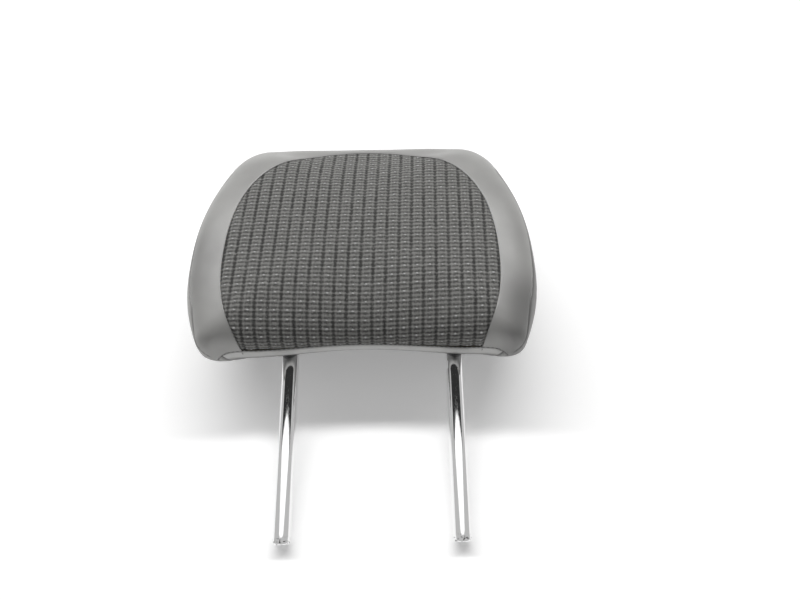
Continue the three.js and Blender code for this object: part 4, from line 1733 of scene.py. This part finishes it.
@dataclass(frozen=True)
class StitchRow:
    """Thread stitches at an even pitch along a path."""

    pitch: float = 0.0036
    length: float = 0.0027
    thickness: float = 0.00055
    segments: int = 6

    def apply(self, path: bpy.types.Object, material: bpy.types.Material) -> None:
        """Turn a path of edges into stitches.

        Args:
            path: Object with a chain of edges.
            material: Finish of the thread.
        """
        g = NodeTree("stitch_row", {
            "Pitch": ("Float", self.pitch),
            "Length": ("Float", self.length),
            "Thickness": ("Float", self.thickness),
            "Material": ("Material", material),
        })
        line = g.add("GeometryNodeMeshToCurve", {"Mesh": g.given["Geometry"]})
        inputs = {"Curve": line.outputs[0], "Length": g.given["Pitch"]}
        spaced = g.add("GeometryNodeResampleCurve", inputs, mode="LENGTH")
        tangent = g.add("GeometryNodeInputTangent")
        axes = {"X": g.given["Length"], "Y": g.given["Thickness"], "Z": g.given["Thickness"]}
        size = g.add("ShaderNodeCombineXYZ", axes)
        g.balls(spaced.outputs[0], tangent.outputs[0], "X", size.outputs[0], self.segments)
        g.apply(path)


@dataclass
class Threads:
    """Thread in the seams of the cover."""

    form: CushionForm
    plan: SeamPlan
    swell: FoamSwell
    depth: float = 0.0009
    front_points: int = 400
    insert_points: int = 300

    def row(self, name: str, angles: np.ndarray, way: Callable[[float], float], closed: bool,
            material: bpy.types.Material) -> None:
        """Build one row of stitches, just under the surface.

        Args:
            name: Piece name.
            angles: Directions round the cushion's middle.
            way: Function that gives the seam's way value in a direction.
            closed: Whether the last point joins the first.
            material: Finish of the thread.
        """
        points = np.array([self.form.point(np.array([a]), np.array([way(a)]))[0] for a in angles])
        normals = self.form.outward(points) if closed else np.tile([0.0, 0.0, 1.0], (len(points), 1))
        moved = self.swell.shift(points, normals) - self.depth * normals
        count = len(moved)
        edges = [(i, (i + 1) % count) for i in range(count if closed else count - 1)]
        piece = mesh_object(name, moved, edges=edges)
        StitchRow().apply(piece, material)
        shaded(piece)
        dress(piece, material)

    def build(self, material: bpy.types.Material) -> None:
        """Build the stitches of the front seam and of the insert's seam.

        Args:
            material: Finish of the thread.
        """
        angles = np.linspace(0, FULL_TURN, self.front_points, endpoint=False)
        self.row("front_seam_thread", angles, self.plan.seam_way, True, material)
        first = self.plan.end_angle
        angles = np.linspace(first, HALF_TURN - first, self.insert_points)
        self.row("insert_seam_thread", angles, self.plan.insert_way, False, material)


@dataclass
class PostTube:
    """The bent tube: two posts with rounded tips, and the crossbar inside the cushion."""

    radius: float = 0.007
    spacing: float = 0.134
    tilt: float = math.radians(9)
    shift_x: float = 0.00626
    crossbar_y: float = 0.258
    bend_radius: float = 0.028
    tip_radius: float = 0.002
    tip_face_share: float = 0.6
    sides: int = 72
    bend_steps: int = 24
    leg_step: float = 0.006
    tip_steps: int = 6
    stop_start: float = 0.131
    stop_length: float = 0.009
    stop_ramp: float = 0.003
    stop_depth: float = 0.0017
    detent_start: float = 0.098
    detent_length: float = 0.0055
    detent_pitch: float = 0.0225
    detent_count: int = 2
    detent_depth: float = 0.001
    cutter_share: float = 1.3
    smooth_below: float = math.radians(32)

    def __post_init__(self) -> None:
        """Place the tube from the frame."""
        low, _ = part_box("post_tube")
        self.tip_y = low.y + (self.radius - self.tip_radius) * math.sin(self.tilt)
        tip_z = self.radius * math.cos(self.tilt) - self.tip_radius * math.sin(self.tilt)
        place = Matrix.Translation((self.shift_x, self.tip_y, tip_z))
        self.matrix = place @ Matrix.Rotation(self.tilt, 4, "X")

    def stations(self) -> list[tuple[float, float, float, float]]:
        """Return x, y, direction and radius of each ring, from the left tip to the right tip.

        Returns:
            One tuple for each ring.
        """
        half = []
        side = self.spacing / 2
        inner = self.radius - self.tip_radius
        half.append((-side, 0.0, 0.0, inner * self.tip_face_share))
        for i in range(self.tip_steps + 1):
            turn = QUARTER_TURN * i / self.tip_steps
            y = self.tip_radius * (1 - math.cos(turn))
            half.append((-side, y, 0.0, inner + self.tip_radius * math.sin(turn)))
        bend_y = self.crossbar_y - self.bend_radius
        count = int(bend_y / self.leg_step)
        for i in range(1, count):
            half.append((-side, self.tip_radius + (bend_y - self.tip_radius) * i / count, 0.0, self.radius))
        bend_x = side - self.bend_radius
        for i in range(self.bend_steps + 1):
            turn = QUARTER_TURN * i / self.bend_steps
            x = -bend_x - self.bend_radius * math.cos(turn)
            half.append((x, bend_y + self.bend_radius * math.sin(turn), turn, self.radius))
        mirrored = [(-x, y, HALF_TURN - turn, r) for x, y, turn, r in reversed(half)]
        return half + mirrored

    def body(self) -> bpy.types.Object:
        """Return the tube's outside as one closed body.

        Returns:
            The body, in the tube's own frame.
        """
        points = []
        stations = self.stations()
        for x, y, turn, r in stations:
            for k in range(self.sides):
                angle = FULL_TURN * k / self.sides
                side = r * math.cos(angle)
                points.append((x - side * math.cos(turn), y + side * math.sin(turn), r * math.sin(angle)))
        tube = mesh_object("post_tube_plated", np.array(points), tube_faces(len(stations), self.sides))
        clean(tube)
        return tube

    def cutter(self) -> bpy.types.Object:
        """Return the shapes that cut the stop notch and the detents.

        Returns:
            One object with all of the closed shapes.
        """
        side = self.spacing / 2
        inner, outer = side - self.radius, side + self.radius
        past = self.radius * self.cutter_share
        low, high = inner - self.stop_depth, inner + self.stop_depth
        end = self.stop_start + self.stop_length
        outlines = [[
            (low, self.stop_start), (high, self.stop_start),
            (high, end - self.stop_ramp), (low, end + self.stop_ramp),
        ]]
        floor, wide = outer - self.detent_depth, outer + self.detent_depth
        for i in range(self.detent_count):
            y = self.detent_start + i * self.detent_pitch
            top = y + self.detent_length
            outlines.append([(floor, y), (wide, y), (wide, top), (floor, top)])
        points, faces = [], []
        for outline in outlines:
            base = len(points)
            points += [(x, y, z) for z in (-past, past) for x, y in outline]
            faces += [tuple(base + i for i in face) for face in tube_faces(2, len(outline))]
        cutter = mesh_object("notch_cutter", np.array(points), faces)
        clean(cutter)
        return cutter

    def build(self, material: bpy.types.Material) -> None:
        """Build the plated tube.

        Args:
            material: Finish of the plating.
        """
        tube = self.body()
        cutter = self.cutter()
        notch = tube.modifiers.new("notches", "BOOLEAN")
        notch.operation = "DIFFERENCE"
        notch.object = cutter
        notch.solver = "EXACT"
        baked(tube)
        bpy.data.objects.remove(cutter)
        tube.data.transform(self.matrix)
        shaded(tube, self.smooth_below)
        dress(tube, material)
        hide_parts("post_tube")


@dataclass
class Grommets:
    """Plastic rings that line the post holes in the bottom panel."""

    tube: PostTube
    cover: Cover
    clearance: float = 0.0003
    wall: float = 0.0015
    flange: float = 0.0025
    proud: float = 0.0003
    edge_round: float = 0.0004
    bore_fall: float = 0.6
    rim_slope: float = 0.0012
    rim_fall: float = 0.75
    rim_under: float = 0.0002
    rim_back: float = 0.0003
    neck_back: float = 0.0006
    depth: float = 0.008
    sides: int = 72
    smooth_below: float = math.radians(50)
    far: float = 0.15

    def build(self, material: bpy.types.Material) -> None:
        """Build both rings.

        Args:
            material: Finish of the rings.
        """
        for name, side in (("left", -1), ("right", 1)):
            piece = self.ring(f"post_ring_{name}", side * self.tube.spacing / 2)
            shaded(piece, self.smooth_below)
            dress(piece, material)
            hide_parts(f"post_grommet_{name}")

    def ring(self, name: str, x: float) -> bpy.types.Object:
        """Return one ring that follows the underside round its post.

        Args:
            name: Piece name.
            x: The post's place in the tube's own frame.

        Returns:
            The ring as a closed body.
        """
        bore = self.tube.radius + self.clearance
        rim = bore + self.wall + self.flange
        neck = bore + self.wall
        profile = [
            (bore, self.depth),
            (bore, -self.proud * self.bore_fall),
            (bore + self.edge_round, -self.proud),
            (rim - self.rim_slope, -self.proud),
            (rim - self.edge_round, -self.proud * self.rim_fall),
            (rim, -self.rim_under),
            (rim - self.rim_back, self.rim_back),
            (neck, self.neck_back),
            (neck, self.depth),
        ]
        axis = (self.tube.matrix.to_3x3() @ Vector((0, 1, 0))).normalized()
        points = []
        for k in range(self.sides):
            angle = FULL_TURN * k / self.sides
            for r, along in profile:
                start = self.tube.matrix @ Vector((x + r * math.cos(angle), 0, r * math.sin(angle)))
                hit, _, _, reach = self.cover.outside.ray_cast(start, axis)
                surface = self.far if hit is None else reach
                points.append(tuple(start + axis * (surface + along)))
        piece = mesh_object(name, np.array(points), grid_faces(self.sides, len(profile), True, True))
        clean(piece)
        return piece


@dataclass
class Studio:
    """Floor, light, reflected cards and camera."""

    floor_level: float = 0.93
    floor_glow: float = 0.235
    far_glow: float = 1.0
    glow_run: tuple = (0.7, 2.2)
    floor_half: float = 6.0
    ambient: float = 0.22
    glossy_world: float = 0.55
    key_tilt: float = math.radians(33.5)
    key_distance: float = 3.0
    key_shift: float = -0.6
    key_size: tuple = (5.4, 0.28)
    key_power: float = 117.0
    card_z: float = 1.5
    card_edge_y: float = -0.03
    card_far_y: float = 3.0
    card_near_y: float = -0.48
    dark_half: float = 2.0
    light_half: float = 1.6
    light_near_half: float = 0.45
    light_level: float = 1.3
    dark_level: float = 0.03
    flag_half: float = 0.01
    flag_gap: float = 0.003
    flag_z: tuple = (0.04, 0.062)
    camera_place: tuple = (0.02956, -0.2386, 0.4857)
    camera_way: tuple = (0.000656, 0.504235, -0.863566)
    camera_roll: float = -0.0157
    focal_pixels: float = 610.0
    image_width: float = 800.0
    sensor_width: float = 36.0

    def floor(self) -> None:
        """Lay the pale floor."""
        h = self.floor_half
        corners = np.array([(-h, -h, 0), (h, -h, 0), (h, h, 0), (-h, h, 0)], float)
        floor = mesh_object("floor", corners, [(0, 1, 2, 3)])
        material, g = new_material("pale_floor")
        place = g.place()
        tone = g.blend(g.noise(place, 3.0, 2.0), grey(self.floor_level), grey(self.floor_level - 0.01))
        paint = g.add("BsdfDiffuse", {"Color": tone})
        distance = g.add("VectorMath", {0: place}, operation="LENGTH").outputs["Value"]
        level = g.span(distance, *self.glow_run, self.floor_glow, self.far_glow)
        glow = g.add("Emission", {"Color": grey(1.0), "Strength": level})
        g.surface(g.add("AddShader", {0: paint.outputs[0], 1: glow.outputs[0]}))
        floor.data.materials.append(material)

    def card(self, name: str, corners: Sequence, level: float) -> None:
        """Hang a card that only shows in reflections.

        Args:
            name: Object name.
            corners: Its four corners in order.
            level: Brightness.
        """
        card = mesh_object(name, np.array(corners), [(0, 1, 2, 3)])
        material, g = new_material(name + "_glow")
        g.surface(g.add("Emission", {"Color": grey(1.0), "Strength": level}))
        card.data.materials.append(material)
        for rays in ("camera", "diffuse", "shadow", "transmission"):
            setattr(card, "visible_" + rays, False)

    def cards(self, tube: PostTube, lip_y: float) -> None:
        """Hang a dark and a light card overhead, and a dark flag where each post leaves the cushion, as
        painted reflection of shade.

        Args:
            tube: The posts.
            lip_y: Place of the cushion's lip.
        """
        z, edge = self.card_z, self.card_edge_y
        for name, half, end, end_half, level in (
            ("ceiling_dark", self.dark_half, self.card_far_y, self.dark_half, self.dark_level),
            ("ceiling_light", self.light_half, self.card_near_y, self.light_near_half, self.light_level),
        ):
            corners = ((-half, edge, z), (half, edge, z), (end_half, end, z), (-end_half, end, z))
            self.card(name, corners, level)
        # Painted reflection: dark flags, seen only in reflections, make the bottom panel show dark in the
        # posts
        for name, side in (("left", -1), ("right", 1)):
            x, y = tube.shift_x + side * tube.spacing / 2, lip_y - self.flag_gap
            a, b, (low, high) = x - self.flag_half, x + self.flag_half, self.flag_z
            corners = ((a, y, low), (b, y, low), (b, y, high), (a, y, high))
            self.card(f"flag_{name}", corners, self.dark_level)

    def light(self) -> None:
        """Set the world and hang the long key light."""
        world = bpy.data.worlds.new("studio")
        bpy.context.scene.world = world
        world.use_nodes = True
        g = Graph(world.node_tree)
        path = g.add("LightPath").outputs
        seen = g.math("ADD", path["Is Camera Ray"], path["Is Transmission Ray"], clamp=True)
        mirrored = g.times(path["Is Glossy Ray"], self.glossy_world)
        strength = g.math("MAXIMUM", g.math("MAXIMUM", seen, mirrored), self.ambient)
        background = g.add("Background", {"Color": grey(1.0), "Strength": strength})
        g.add("OutputWorld", {0: background.outputs[0]})
        lamp = bpy.data.lights.new("long_key", "AREA")
        lamp.shape = "RECTANGLE"
        lamp.size, lamp.size_y = self.key_size
        lamp.energy = self.key_power
        key = bpy.data.objects.new("long_key", lamp)
        away = Vector((0, math.sin(self.key_tilt), math.cos(self.key_tilt))) * self.key_distance
        key.location = away + Vector((self.key_shift, 0, 0))
        key.rotation_euler = (-self.key_tilt, 0, 0)
        bpy.context.scene.collection.objects.link(key)

    def camera(self) -> None:
        """Set the camera at the photograph's angle."""
        data = bpy.data.cameras.new("camera")
        data.sensor_width = self.sensor_width
        data.lens = self.focal_pixels / self.image_width * self.sensor_width
        data.clip_start = 0.01
        camera = bpy.data.objects.new("camera", data)
        camera.location = self.camera_place
        camera.rotation_mode = "QUATERNION"
        level = Vector(self.camera_way).to_track_quat("-Z", "Y")
        camera.rotation_quaternion = level @ Quaternion((0, 0, 1), self.camera_roll)
        bpy.context.scene.collection.objects.link(camera)
        bpy.context.scene.camera = camera

    def build(self, tube: PostTube, lip_y: float) -> None:
        """Set up everything round the object.

        Args:
            tube: The posts.
            lip_y: Place of the cushion's lip.
        """
        self.camera()
        self.floor()
        self.light()
        self.cards(tube, lip_y)
        bpy.context.scene.view_settings.view_transform = "Standard"


def dress_hidden_nodes() -> None:
    """Give the pieces inside the cushion their finishes."""
    finishes = {
        FoamFinish().material(): ["foam_bun"],
        MottledFinish.moulded("carrier_moulding", 0.022): ["carrier_front", "carrier_rear"],
        MottledFinish.moulded("strip_moulding", 0.04): ["closure_strip_front", "closure_strip_back"],
        MottledFinish.zinc(): [f"carrier_screw_{i}" for i in range(1, 5)],
    }
    for material, nodes in finishes.items():
        for node in nodes:
            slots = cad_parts[node].data.materials
            slots.clear()
            slots.append(material)
            log.info("%s: finished in place", node)


def main() -> None:
    """Build the dressed headrest and its surroundings."""
    logging.basicConfig(level=logging.INFO, format="%(message)s")
    form = CushionForm(lip_y=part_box("bottom_panel")[0].y)
    tube = PostTube()
    Studio().build(tube, form.lip_y)
    plan = SeamPlan(form)
    swell = FoamSwell(form, plan)
    swell.simulate()
    cover = Cover(form, plan, swell)
    cover.surround(VinylFinish("surround_vinyl", lip_y=form.lip_y).material())
    cover.rear(
        VinylFinish("back_vinyl", colour=(0.30, 0.296, 0.287, 1.0)).material(),
        # Painted light: the bottom panel is the same vinyl painted lighter for the bright floor it reflects,
        # with painted shade below shaded_z
        VinylFinish("bottom_vinyl", colour=(0.56, 0.557, 0.546, 1.0), shaded_z=0.051).material(),
    )
    panel = RibbedPanel(form, plan, swell)
    panel.build(WeaveFinish().material())
    panel.floats(MottledFinish.yarn("float_yarn", 0.5))
    Threads(form, plan, swell).build(MottledFinish.yarn("seam_thread", 0.2))
    tube.build(ChromeFinish(tube.tip_y).material())
    Grommets(tube, cover).build(MottledFinish.moulded("ring_moulding", 0.03))
    dress_hidden_nodes()


if __name__ == "__main__":
    main()
